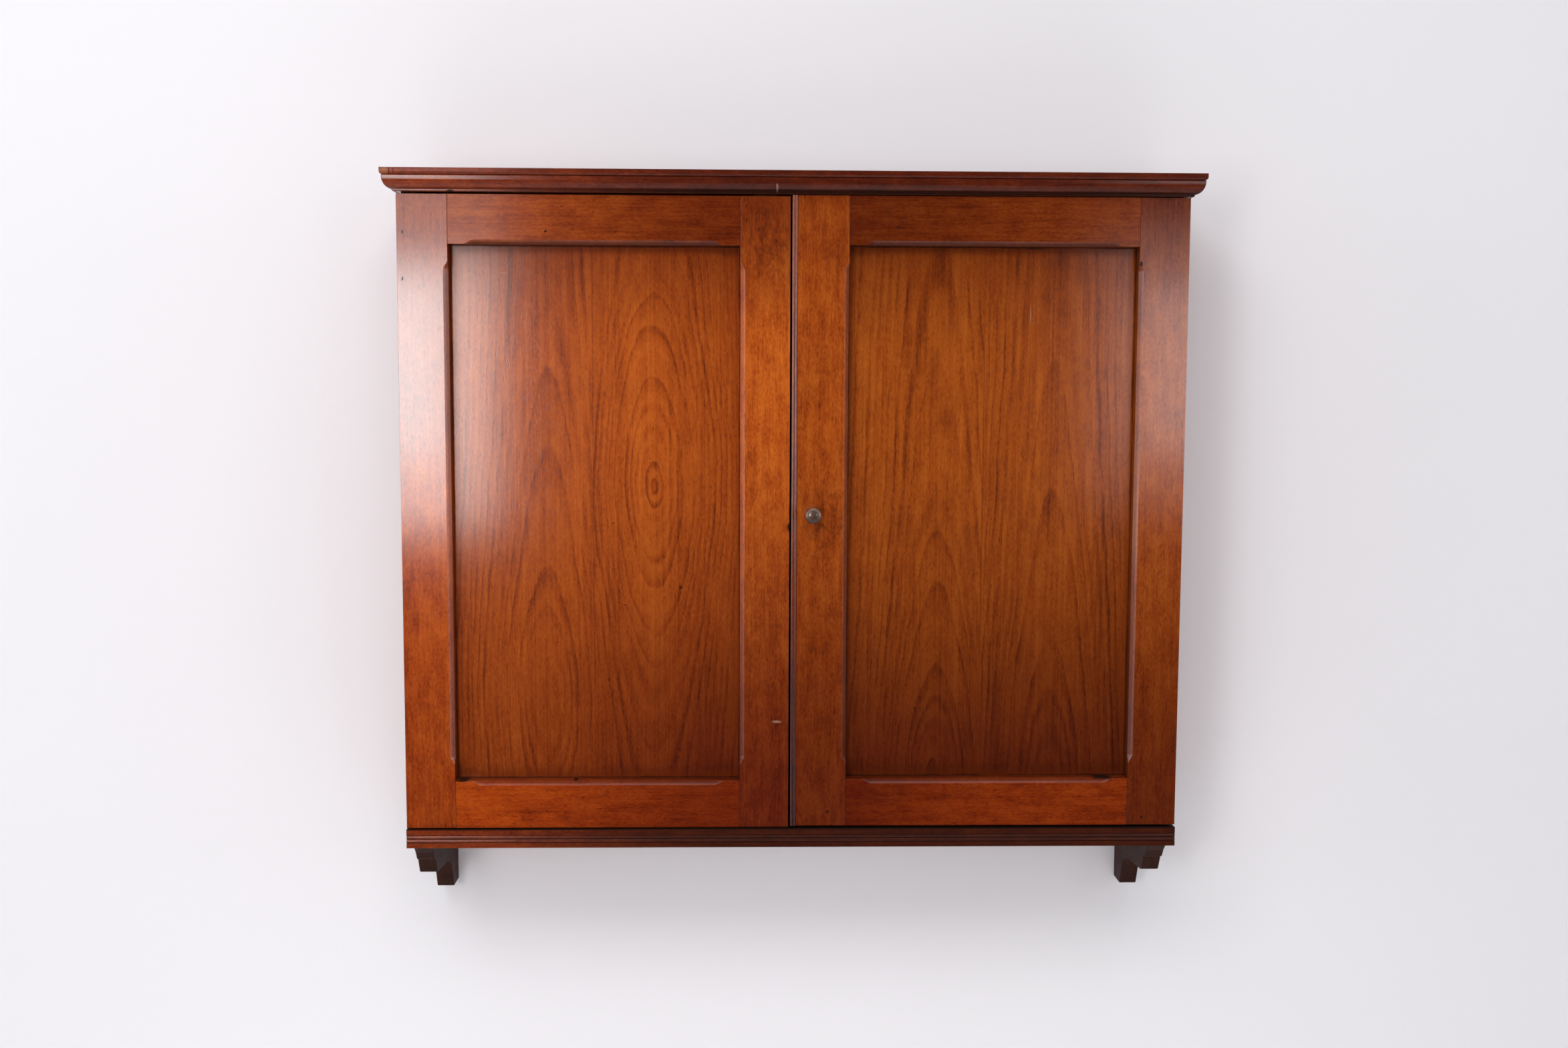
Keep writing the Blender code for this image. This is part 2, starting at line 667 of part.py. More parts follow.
def hinge_mortise(name, hand, to_wall, foot, carrier):
    """The shallow recess that lets a leaf lie flush in the wood."""
    mouth = PIVOT_Y - to_wall * CUTTER_MARGIN
    floor = PIVOT_Y + to_wall * (FIT_GAP / 2 + HINGE_LEAF_THICKNESS + FIT_GAP)
    inner = hand * (HALF_WIDTH - HINGE_LEAF_WIDTH - FIT_GAP)
    sides = sorted((inner, hand * (HALF_WIDTH + CUTTER_MARGIN)))
    depths = sorted((mouth, floor))
    low = (sides[0], depths[0], foot - FIT_GAP)
    high = (sides[1], depths[1], foot + HINGE_HEIGHT + FIT_GAP)
    return box_cutter(name, [(low, high)], carrier)


def add_hinges(side, hand, foot, head, carcass_side, hinge_stile, cabinet, door):
    lower = foot + HINGE_FROM_DOOR_END
    upper = head - HINGE_FROM_DOOR_END - HINGE_HEIGHT
    for level, hinge_foot in (("lower", lower), ("upper", upper)):
        name = f"{side}_{level}_hinge"
        hinge_leaf(f"{name}_carcass_leaf", hand, 1, hinge_foot, 0, cabinet)
        hinge_leaf(f"{name}_door_leaf", hand, -1, hinge_foot, 1, door)
        pin = rod_mesh(f"{name}_pin", HINGE_PIN_RADIUS, HINGE_HEIGHT)
        add_piece(f"{name}_pin", pin, "steel", cabinet, (hand * PIVOT_X, PIVOT_Y, hinge_foot))
        cut(carcass_side, hinge_mortise(f"{name}_carcass_mortise", hand, 1, hinge_foot, cabinet))
        cut(hinge_stile, hinge_mortise(f"{name}_door_mortise", hand, -1, hinge_foot, door))


def add_meeting_bead(foot, head, door):
    """A strip glued to the edge of the latch stile, its front worked into two reeds."""
    front = DOOR_FRONT - BEAD_PROUD
    right = RIGHT_DOOR_EDGE + BEAD_WIDTH
    section = [(right, DOOR_BACK), (RIGHT_DOOR_EDGE, DOOR_BACK)]
    section += [(x, y) for y, x in reeds(front, RIGHT_DOOR_EDGE, right, BEAD_REED_COUNT)]
    extrusion("meeting_bead", "Z", foot, head, section, "polished wood", door, rounded=True)


def add_latch(latch_stile, door, knob_axis, left_door):
    axis = (KNOB_X, KNOB_HEIGHT)
    shank_hole = circle(axis, SHANK_RADIUS + SHANK_CLEARANCE)
    bore = rod_mesh("shank_hole", SHANK_RADIUS + SHANK_CLEARANCE, DOOR_THICKNESS + 2 * CUTTER_MARGIN)
    bore_place = (KNOB_X, DOOR_BACK + CUTTER_MARGIN, KNOB_HEIGHT)
    cut(latch_stile, add_cutter("shank_hole", bore, door, bore_place, AXIS_TURN["Y"]))
    rose_back = DOOR_FRONT - FIT_GAP
    rose_front = rose_back - ROSE_THICKNESS
    rose = circle(axis, ROSE_RADIUS)
    extrusion("knob_rose", "Y", rose_front, rose_back, rose, "dark metal", door, [shank_hole], rounded=True)
    half_width = LATCH_PLATE_WIDTH / 2
    half_height = LATCH_PLATE_HEIGHT / 2
    plate_low = (KNOB_X - half_width, KNOB_HEIGHT - half_height)
    plate_high = (KNOB_X + half_width, KNOB_HEIGHT + half_height)
    plate = rectangle(plate_low, plate_high)
    extrusion("latch_back_plate", "Y", PLATE_FRONT, PLATE_BACK, plate, "brass", door, [shank_hole])
    tongue_front = PLATE_BACK + FIT_GAP
    tongue_back = tongue_front + TONGUE_THICKNESS
    nut_front = tongue_back + FIT_GAP
    nut_back = nut_front + NUT_THICKNESS
    add_knob(DOOR_FRONT - (rose_front - FIT_GAP), nut_back + SHANK_END - DOOR_FRONT, knob_axis)
    grip = [circle(axis, SHANK_RADIUS + FIT_GAP / 2)]
    reach = KNOB_SETBACK + MEETING_GAP + TONGUE_OVERLAP
    tip = (KNOB_X, KNOB_HEIGHT - reach + TONGUE_TIP_RADIUS)
    tongue = arc(axis, (TONGUE_EYE_RADIUS, TONGUE_EYE_RADIUS), 0, math.pi, 2 * CURVE_STEPS)
    tongue += arc(tip, (TONGUE_TIP_RADIUS, TONGUE_TIP_RADIUS), math.pi, 2 * math.pi, 2 * CURVE_STEPS)
    extrusion("latch_tongue", "Y", tongue_front, tongue_back, tongue, "brass", knob_axis, grip, rounded=True)
    nut = circle(axis, NUT_RADIUS, NUT_SIDES)
    extrusion("knob_nut", "Y", nut_front, nut_back, nut, "brass", knob_axis, grip)
    strike_right = LEFT_DOOR_EDGE - STRIKE_SETBACK
    strike_low = (strike_right - STRIKE_WIDTH, KNOB_HEIGHT - STRIKE_HEIGHT / 2)
    strike_high = (strike_right, KNOB_HEIGHT + STRIKE_HEIGHT / 2)
    strike = rectangle(strike_low, strike_high)
    extrusion("latch_strike", "Y", PLATE_FRONT, PLATE_BACK, strike, "brass", left_door)


def add_knob(seat, shank_length, knob_axis):
    """Knob and shank in one turned piece. seat is how far the knob's foot stands off the door's face."""
    rim = (0, KNOB_PROJECTION - KNOB_DOME_RISE)
    under = math.acos(KNOB_NECK_RADIUS / KNOB_RADIUS)
    profile = arc(rim, (KNOB_RADIUS, KNOB_DOME_RISE), math.pi / 2, 0, CURVE_STEPS)
    profile[0] = (0, KNOB_PROJECTION)
    profile += arc(rim, (KNOB_RADIUS, KNOB_UNDERSIDE), 0, -under, CURVE_STEPS)[1:]
    shoulder = seat + KNOB_FOOT_HEIGHT
    profile += [(KNOB_NECK_RADIUS, shoulder), (KNOB_FOOT_RADIUS, shoulder), (KNOB_FOOT_RADIUS, seat)]
    profile += [(SHANK_RADIUS, seat), (SHANK_RADIUS, -shank_length), (0, -shank_length)]
    mesh = bpy.data.meshes.new("knob")
    corners = [(radius, 0, height) for radius, height in profile]
    mesh.from_pydata(corners, [(i, i + 1) for i in range(len(corners) - 1)], [])
    place = (KNOB_X, DOOR_FRONT, KNOB_HEIGHT)
    knob = add_piece("knob", mesh, "dark metal", knob_axis, place, AXIS_TURN["Y"])
    turn = knob.modifiers.new("turned", "SCREW")
    turn.axis = "Z"
    turn.steps = TURNED_STEPS
    turn.render_steps = TURNED_STEPS
    turn.use_merge_vertices = True
    turn.merge_threshold = MERGE_DISTANCE
    turn.use_smooth_shade = True


def add_bolt(left_door, bolt_axis, cabinet):
    """A bolt on the back of the left door that slides up through a keeper into the carcass top."""
    spacing = 2 * (BUTTON_RADIUS + FIT_GAP) + BOLT_TRAVEL
    upper_guide_foot = LEFT_DOOR_HEAD - GUIDE_FROM_DOOR_HEAD - GUIDE_HEIGHT
    lower_guide_foot = upper_guide_foot - spacing - GUIDE_HEIGHT
    guide_depth = BOLT_Y + BOLT_RADIUS + BOLT_CLEARANCE + GUIDE_WALL
    plate_low = (BOLT_X - BOLT_PLATE_WIDTH / 2, PLATE_FRONT, lower_guide_foot - BOLT_PLATE_MARGIN)
    plate_high = (
        BOLT_X + BOLT_PLATE_WIDTH / 2,
        PLATE_BACK,
        upper_guide_foot + GUIDE_HEIGHT + BOLT_PLATE_MARGIN,
    )
    plate = board("bolt_plate", plate_low, plate_high, "brass", left_door)
    guides = []
    for foot in (lower_guide_foot, upper_guide_foot):
        low = (BOLT_X - GUIDE_WIDTH / 2, PLATE_FRONT + PLATE_THICKNESS / 2, foot)
        guides.append((low, (BOLT_X + GUIDE_WIDTH / 2, guide_depth, foot + GUIDE_HEIGHT)))
    join(plate, box_cutter("bolt_guides", guides, left_door))
    run = rod_mesh("bolt_run", BOLT_RADIUS + BOLT_CLEARANCE, plate_high[2] - plate_low[2])
    cut(plate, add_cutter("bolt_run", run, left_door, (BOLT_X, BOLT_Y, plate_low[2])))
    bolt_foot = lower_guide_foot - BOLT_TAIL
    bolt_head = LEFT_DOOR_HEAD - BOLT_REACH
    shaft = rod_mesh("bolt", BOLT_RADIUS, bolt_head - bolt_foot)
    bolt = add_piece("bolt", shaft, "brass", bolt_axis, (BOLT_X, BOLT_Y, bolt_foot))
    button_height = lower_guide_foot + GUIDE_HEIGHT + FIT_GAP + BUTTON_RADIUS
    button_end = BOLT_Y + BOLT_RADIUS + BUTTON_LENGTH
    button = rod_mesh("bolt_button", BUTTON_RADIUS, button_end - BOLT_Y)
    button_place = (BOLT_X, button_end, button_height)
    join(bolt, add_cutter("bolt_button", button, bolt_axis, button_place, AXIS_TURN["Y"]))
    half_width = KEEPER_WIDTH / 2
    half_depth = KEEPER_DEPTH / 2
    keeper_low = (BOLT_X - half_width, BOLT_Y - half_depth)
    keeper_high = (BOLT_X + half_width, BOLT_Y + half_depth)
    keeper = rectangle(keeper_low, keeper_high)
    hole = circle((BOLT_X, BOLT_Y), BOLT_RADIUS + 2 * BOLT_CLEARANCE)
    keeper_head = TOP_UNDERSIDE - FIT_GAP
    keeper_foot = keeper_head - PLATE_THICKNESS
    extrusion("bolt_keeper", "Z", keeper_foot, keeper_head, keeper, "brass", cabinet, [hole])


def build_cabinet():
    cabinet = Carrier("wall_cabinet_frame", (0, 0, 0), offset=(0, 0, -CABINET_TOP / 2))
    left_door = Carrier("left_door_axis", (-PIVOT_X, PIVOT_Y, BASE_THICKNESS), cabinet)
    right_door = Carrier("right_door_axis", (PIVOT_X, PIVOT_Y, BASE_THICKNESS), cabinet)
    knob_axis = Carrier("knob_axis", (KNOB_X, DOOR_FRONT, KNOB_HEIGHT), right_door)
    bolt_axis = Carrier("bolt_axis", (BOLT_X, BOLT_Y, LEFT_DOOR_HEAD), left_door)
    sides = dict(add_sides(cabinet))
    add_base(cabinet)
    add_brackets(cabinet)
    add_top(cabinet)
    add_cornice(cabinet)
    add_back(cabinet)
    add_inside(cabinet)
    left_foot = BASE_THICKNESS + LEFT_DOOR_FOOT_GAP
    right_foot = BASE_THICKNESS + RIGHT_DOOR_FOOT_GAP
    right_head = TOP_UNDERSIDE - RIGHT_DOOR_HEAD_GAP
    left_head = LEFT_DOOR_HEAD
    left_stiles = add_door_frame("left", -1, LEFT_DOOR_EDGE, STILE_WIDTH, left_foot, left_head, left_door)
    right_stiles = add_door_frame(
        "right", 1, LATCH_STILE_EDGE, LATCH_STILE_WIDTH, right_foot, right_head, right_door
    )
    add_meeting_bead(right_foot, right_head, right_door)
    left_hinge_stile = left_stiles["hinge"]
    right_hinge_stile = right_stiles["hinge"]
    add_hinges("left", -1, left_foot, left_head, sides[-1], left_hinge_stile, cabinet, left_door)
    add_hinges("right", 1, right_foot, right_head, sides[1], right_hinge_stile, cabinet, right_door)
    add_latch(right_stiles["meeting"], right_door, knob_axis, left_door)
    add_bolt(left_door, bolt_axis, cabinet)


clear_scene()
PARTS = new_collection("wall_cabinet")
CUTTERS = new_collection("cutters")
build_cabinet()
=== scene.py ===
"""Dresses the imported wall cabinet: worn edges, figured and polished wood, metal fittings and fasteners."""

import json
import math

import bmesh
import bpy
from mathutils import Matrix, Vector


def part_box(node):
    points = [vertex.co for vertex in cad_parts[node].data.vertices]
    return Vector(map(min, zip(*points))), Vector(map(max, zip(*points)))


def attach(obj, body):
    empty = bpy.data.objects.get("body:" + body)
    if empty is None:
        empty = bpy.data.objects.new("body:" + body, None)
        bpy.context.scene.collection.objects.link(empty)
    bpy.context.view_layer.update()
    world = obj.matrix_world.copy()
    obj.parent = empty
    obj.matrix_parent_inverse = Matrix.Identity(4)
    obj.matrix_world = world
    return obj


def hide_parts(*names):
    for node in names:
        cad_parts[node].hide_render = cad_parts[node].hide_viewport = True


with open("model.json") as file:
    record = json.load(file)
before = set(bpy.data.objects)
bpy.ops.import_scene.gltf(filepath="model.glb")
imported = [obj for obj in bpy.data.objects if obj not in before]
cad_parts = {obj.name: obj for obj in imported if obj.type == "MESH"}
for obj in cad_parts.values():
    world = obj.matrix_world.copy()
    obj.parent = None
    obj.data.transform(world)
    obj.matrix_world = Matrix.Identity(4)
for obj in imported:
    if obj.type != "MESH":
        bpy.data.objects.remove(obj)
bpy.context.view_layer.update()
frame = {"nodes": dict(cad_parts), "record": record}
NODES = frame["nodes"]
SLOT_OF = {row["node"]: row["material_slot"] for row in frame["record"]["subparts"]}
BODY_OF = {node: body for body, nodes in frame["record"]["behaviour"]["bodies"].items() for node in nodes}

# Camera, as the photograph was taken
CAMERA_PLACE = Vector((-0.0552, -1.855, 0.1366))
CAMERA_PITCH = math.radians(-4.982)
CAMERA_TURN = math.radians(1.493)
CAMERA_ROLL = math.radians(0.236)
CAMERA_LENS = 34.907
CAMERA_SENSOR = 36

# How far edges are worn round
FRAME_WEAR = 0.0004
MOULDING_WEAR = 0.0005
CARCASS_WEAR = 0.0006
BRACKET_WEAR = 0.0009
METAL_WEAR = 0.00015
SHARP_ANGLE = math.radians(32)
FLAT_ANGLE = math.radians(1)
MERGE_DISTANCE = 0.000001

# Wood tones, in linear light: pale growth, deep growth, the dark line that ends a ring
AMBER = ((0.53, 0.118, 0.011), (0.365, 0.060, 0.005), (0.145, 0.020, 0.003))
PANEL_AMBER = ((0.490, 0.108, 0.010), (0.345, 0.060, 0.005), (0.145, 0.022, 0.003))
RED_BROWN = ((0.120, 0.027, 0.009), (0.070, 0.013, 0.005), (0.028, 0.007, 0.004))
NEAR_BLACK = ((0.048, 0.012, 0.006), (0.028, 0.008, 0.004), (0.012, 0.004, 0.003))
SOFTWOOD = ((0.420, 0.240, 0.105), (0.330, 0.165, 0.062), (0.210, 0.090, 0.032))
# Dark colours of dirt and stains; they also paint shade
DIRT_AND_SHADE = (0.012, 0.006, 0.004)
STAIN_AND_SHADE = (0.050, 0.011, 0.004)
BARE_WOOD = (0.34, 0.19, 0.12)
PATCH_WOOD = (0.30, 0.10, 0.030)

# Painted shade: the wood's colour deepens by this much at most where the light falls off towards the foot,
# the head and the right, in ramps along an axis: start, end and the amount at each. The one at the foot also
# grows from left to right
SHADE_TINT = (0.26, 0.155, 0.24)
FOOT_SHADE = ("Z", -0.34, 0.10, 1.0, 0.0)
FOOT_SHADE_LEAN = (-0.43, -0.06, 0.52, 1.0)
HEAD_SHADE = ("Z", 0.165, 0.36, 0.0, 0.85)
MOULDING_SHADE = ("X", -0.42, -0.08, 0.0, 0.62)
PAINTED_SHADE = {
    "left_top_rail": [("X", -0.36, -0.06, 0.25, 0.85)],
    "left_bottom_rail": [("X", -0.36, -0.06, 0.22, 0.85)],
    "right_top_rail": [("X", 0.06, 0.30, 0.80, 0.55)],
    "right_bottom_rail": [("X", 0.06, 0.24, 0.85, 0.45)],
    "left_hinge_stile": [FOOT_SHADE, ("Z", 0.00, 0.14, 0.0, 0.55)],
    "left_meeting_stile": [("Z", -0.32, 0.15, 1.0, 0.0), HEAD_SHADE],
    "right_meeting_stile": [("Z", -0.31, 0.14, 0.88, 0.0), ("Z", 0.20, 0.36, 0.0, 0.45)],
    "right_hinge_stile": [("Z", -0.34, 0.10, 0.90, 0.0), HEAD_SHADE],
    "left_panel": [FOOT_SHADE, HEAD_SHADE, ("X", -0.20, -0.07, 0.0, 0.20)],
    "right_panel": [FOOT_SHADE, HEAD_SHADE],
}
# Mouldings grow dull, and darker with painted shade, along this ramp, away from the window
DULL_AND_SHADED_AWAY = ("X", -0.42, -0.08)

# How grain is drawn on panels, on bare boards and on the rest: how far it sways, the scale of its bands and
# fibres, its middle depth of colour, and the weights of bands, fibres, grit and mottling in that depth
GRAIN = {
    "panel": (0.006, (36, 36, 1.6), (400, 400, 3.5), 0.34, (0.85, 0.95, 0.80, 0.60)),
    "bare": (0.012, (120, 120, 1.5), (400, 400, 14), 0.34, (1.50, 0.70, 0.50, 0.60)),
    "frame": (0.012, (36, 36, 1.6), (400, 400, 14), 0.40, (0.60, 0.85, 0.95, 1.20)),
}
SWAY_SCALE = (9, 9, 2.4)
GRIT_SCALE = (560, 560, 210)
MOTTLE_SCALE = (70, 70, 34)
PORE_SCALE = (900, 900, 150)
PATCH_SCALE = (24, 24, 13)
SPECK_SCALE = (330, 330, 240)
RIPPLE_SCALE = (60, 60, 9)
PORE_DEPTH = 0.35
RING_DEPTH = 0.54

# Each panel is two boards with a joint between them. A board's rings are long ovals about its eye: how far
# apart they are across the board, how much narrower than high, how wide the pale heart is, and how they
# lengthen
LEFT_PANEL_BOARDS = {
    "joint": -0.2231,
    "centre": (-0.274, -0.1556),
    "eye": (-0.204, 0.035),
    "spacing": (0.0062, 0.0058),
    "narrow": (0.36, 0.46),
    "heart": (0.014, 0.003),
}
RIGHT_PANEL_BOARDS = {
    "joint": 0.2105,
    "centre": (0.160, 0.290),
    "eye": (-0.300, -0.330),
    "spacing": (0.0060, 0.0064),
    "narrow": (0.40, 0.34),
    "heart": (0.009, 0.010),
}
RING_STRETCH = 4.0

# Polish: weight and roughness of the clear coat
COAT_IOR = 1.65
POLISHED = (1.0, 0.13)
PANEL_POLISH = (0.80, 0.13)
RAIL_POLISH = (0.60, 0.13)
RUBBED = (0.48, 0.14)
SIDE_POLISH = (0.40, 0.24)
KNOB_POLISH = (0.85, 0.14)
DULLED = (0.09, 0.25)
BARE = (0.0, 0.5)

# Metals: colour, the duller one in its clouds, roughness, stain, and the scale of the clouds
BRASS = ((0.52, 0.34, 0.12), (0.36, 0.22, 0.078), 0.32, (0.14, 0.08, 0.04), 110)
STEEL = ((0.22, 0.205, 0.19), (0.11, 0.092, 0.080), 0.44, (0.06, 0.045, 0.035), 220)
BROWNED = ((0.215, 0.126, 0.090), (0.150, 0.086, 0.060), 0.40, (0.030, 0.017, 0.010), 260)
# Share of the knob's height, from its foot, over which painted shade darkens it
KNOB_SHADED_SHARE = 0.60

# Marks of use: the tint and strength of each kind, then each mark's kind, its place across and up, its width
# and its height
MARK_KINDS = {
    "nick": (DIRT_AND_SHADE, 0.90),
    "chip": (BARE_WOOD, 0.70),
    "stain": (STAIN_AND_SHADE, 0.62),
    "patch": (PATCH_WOOD, 0.75),
}
MARKS = {
    "left_hinge_stile": [
        ("nick", -0.4254, 0.3066, 0.0011, 0.0022),
        ("nick", -0.4262, 0.2566, 0.0009, 0.0024),
    ],
    "left_top_rail": [("nick", -0.2714, 0.3084, 0.0024, 0.0016)],
    "left_panel": [
        ("nick", -0.1267, -0.0822, 0.0022, 0.0024),
        ("nick", -0.1887, -0.1018, 0.0012, 0.0012),
        ("chip", -0.3197, 0.2649, 0.0040, 0.0012),
    ],
    "left_bottom_rail": [
        ("stain", -0.2080, -0.3185, 0.0060, 0.0120),
        ("nick", -0.3690, -0.2980, 0.0070, 0.0012),
        ("nick", -0.2440, -0.2985, 0.0030, 0.0010),
    ],
    "right_bottom_rail": [("nick", 0.3490, -0.2972, 0.0130, 0.0013)],
    "left_meeting_stile": [
        ("stain", -0.0290, 0.3000, 0.0330, 0.0600),
        ("chip", -0.0189, -0.2314, 0.0060, 0.0018),
        ("nick", -0.0062, -0.0131, 0.0022, 0.0060),
    ],
    "right_meeting_stile": [
        ("stain", 0.0350, 0.3334, 0.0060, 0.0070),
        ("stain", 0.0350, -0.0050, 0.0300, 0.0550),
        ("nick", 0.0387, -0.3338, 0.0020, 0.0022),
    ],
    "right_top_rail": [
        ("stain", 0.1123, 0.3189, 0.0120, 0.0060),
        ("stain", 0.0980, 0.3300, 0.0100, 0.0070),
    ],
    "right_panel": [
        ("chip", 0.2610, 0.2230, 0.0006, 0.0120),
        ("nick", 0.1370, -0.2197, 0.0012, 0.0016),
    ],
    "right_hinge_stile": [
        ("nick", 0.3792, 0.2774, 0.0018, 0.0036),
        ("nick", 0.3945, -0.3411, 0.0018, 0.0020),
    ],
    "cornice_front": [
        ("chip", -0.0205, 0.3559, 0.0012, 0.0048),
        ("nick", -0.3731, 0.3505, 0.0050, 0.0016),
    ],
    "top_board": [
        ("patch", -0.4415, 0.3690, 0.0055, 0.0060),
        ("nick", -0.4355, 0.3690, 0.0005, 0.0060),
        ("nick", -0.4310, 0.3690, 0.0005, 0.0060),
    ],
    "base_board": [
        ("stain", -0.2296, -0.3640, 0.0080, 0.0040),
        ("stain", -0.3080, -0.3660, 0.0060, 0.0030),
    ],
}

# How much the stopped chamfers are darkened, with dirt and painted shade, and how dull, and the depths from
# the front where that starts and ends
CHAMFER_START = (0.0004, 0.0030)
CHAMFER_END = (0.0130, 0.0170)
CHAMFERS = {
    "left_hinge_stile": (0.45, 0.45),
    "left_meeting_stile": (0.10, 0.10),
    "left_top_rail": (0.65, 0.65),
    "left_bottom_rail": (0.42, 0.97),
    "right_meeting_stile": (0.50, 0.50),
    "right_top_rail": (0.65, 0.65),
    "right_bottom_rail": (0.42, 0.97),
    "right_hinge_stile": (0.45, 0.45),
}

# How pale each back board and the other bare boards are, and how strongly each piece is toned in red, green
# and blue
BACK_BOARD_TONES = (0.86, 0.74, 0.92, 0.80, 0.88)
BARE_BOARD_TONE = 0.95
YELLOWED = (1.0, 0.98, 0.94)
TONE = {
    "left_hinge_stile": (1.15, 1.05, 1.0),
    "left_meeting_stile": (1.15, 1.22, 1.3),
    "left_top_rail": (0.92, 0.88, 0.8),
    "left_bottom_rail": (0.94, 0.72, 0.6),
    "right_meeting_stile": (0.91, 0.93, 0.9),
    "right_top_rail": (0.72, 0.70, 0.7),
    "right_bottom_rail": (0.78, 0.58, 0.5),
    "right_hinge_stile": (0.83, 0.86, 0.8),
    "left_panel": (1.06, 1.06, 1.1),
    "right_panel": (0.85, 0.92, 0.95),
    "meeting_bead": (2.6, 2.4, 2.0),
    "side": (0.75, 0.72, 0.7),
    "carcass_top": (0.55, 0.55, 0.55),
    "cornice_return": (1.4, 1.3, 1.1),
    "cornice_front": (2.5, 1.8, 1.1),
    "top_board": (2.5, 1.8, 1.1),
    "base_board": (2.3, 1.8, 1.2),
}


class Nodes:
    """Adds nodes to a tree and links them."""

    def __init__(self, tree):
        self.tree = tree

    def node(self, kind, **settings):
        made = self.tree.nodes.new(kind)
        for key, value in settings.items():
            setattr(made, key, value)
        return made

    def feed(self, socket, value):
        if isinstance(value, bpy.types.NodeSocket):
            self.tree.links.new(value, socket)
        else:
            socket.default_value = value

    def math(self, operation, *values):
        made = self.node("ShaderNodeMath", operation=operation)
        for socket, value in zip(made.inputs, values):
            self.feed(socket, value)
        return made.outputs[0]

    def vector(self, operation, *values):
        made = self.node("ShaderNodeVectorMath", operation=operation)
        for socket, value in zip(made.inputs, values):
            self.feed(socket, value)
        return made

    def ramp(self, value, low, high, start=0.0, end=1.0):
        """value between low and high becomes start to end, eased at both ends."""
        made = self.node("ShaderNodeMapRange", interpolation_type="SMOOTHSTEP")
        for socket, given in zip(made.inputs, (value, low, high, start, end)):
            self.feed(socket, given)
        return made.outputs[0]


class Finish(Nodes):
    """A material's nodes, from the piece's own coordinates to one Principled shader."""

    def __init__(self, name):
        self.material = bpy.data.materials.new(name)
        self.material.use_nodes = True
        super().__init__(self.material.node_tree)
        self.shader = self.tree.nodes["Principled BSDF"]
        self.place = self.node("ShaderNodeTexCoord").outputs["Object"]

    def mix(self, amount, first, second, blend="MIX"):
        made = self.node("ShaderNodeMix", data_type="RGBA", blend_type=blend)
        self.feed(made.inputs["Factor"], amount)
        for socket, value in ((made.inputs[6], first), (made.inputs[7], second)):
            self.feed(socket, (*value, 1) if isinstance(value, tuple) else value)
        return made.outputs[2]

    def scaled(self, place, scale, turn=(0, 0, 0), shift=(0, 0, 0)):
        made = self.node("ShaderNodeMapping")
        self.feed(made.inputs["Vector"], place)
        made.inputs["Location"].default_value = shift
        made.inputs["Rotation"].default_value = turn
        made.inputs["Scale"].default_value = scale
        return made.outputs[0]

    def noise(self, place, detail=2.0, roughness=0.5):
        made = self.node("ShaderNodeTexNoise")
        self.feed(made.inputs["Vector"], place)
        made.inputs["Scale"].default_value = 1.0
        made.inputs["Detail"].default_value = detail
        made.inputs["Roughness"].default_value = roughness
        return made

    def split(self, place):
        made = self.node("ShaderNodeSeparateXYZ")
        self.feed(made.inputs[0], place)
        return made.outputs

    def total(self, start, *parts):
        """start and each part's swing about its middle, times the part's weight."""
        result = start - sum(weight for _, weight in parts) / 2
        for value, weight in parts:
            result = self.math("MULTIPLY_ADD", value, weight, result)
        return result

    def gradient(self, value, *colours):
        made = self.node("ShaderNodeValToRGB")
        self.feed(made.inputs["Fac"], value)
        stops = made.color_ramp.elements
        for i, colour in enumerate(colours):
            stop = stops[i] if i < 2 else stops.new(1.0)
            stop.position = i / (len(colours) - 1)
            stop.color = (*colour, 1)
        return made.outputs["Color"]

    def bump(self, socket, height, strength, distance):
        made = self.node("ShaderNodeBump")
        made.inputs["Strength"].default_value = strength
        made.inputs["Distance"].default_value = distance
        self.feed(made.inputs["Height"], height)
        self.feed(self.shader.inputs[socket], made.outputs[0])

    def gloss(self, coat, coat_roughness):
        self.feed(self.shader.inputs["Coat Weight"], coat)
        self.shader.inputs["Coat Roughness"].default_value = coat_roughness
        self.shader.inputs["Coat IOR"].default_value = COAT_IOR


# Turns that lay the grain, which runs along Z in the wood's nodes, along another axis of the piece
GRAIN_TURN = {"X": (0, math.pi / 2, 0), "Y": (math.pi / 2, 0, 0), "Z": (0, 0, 0)}


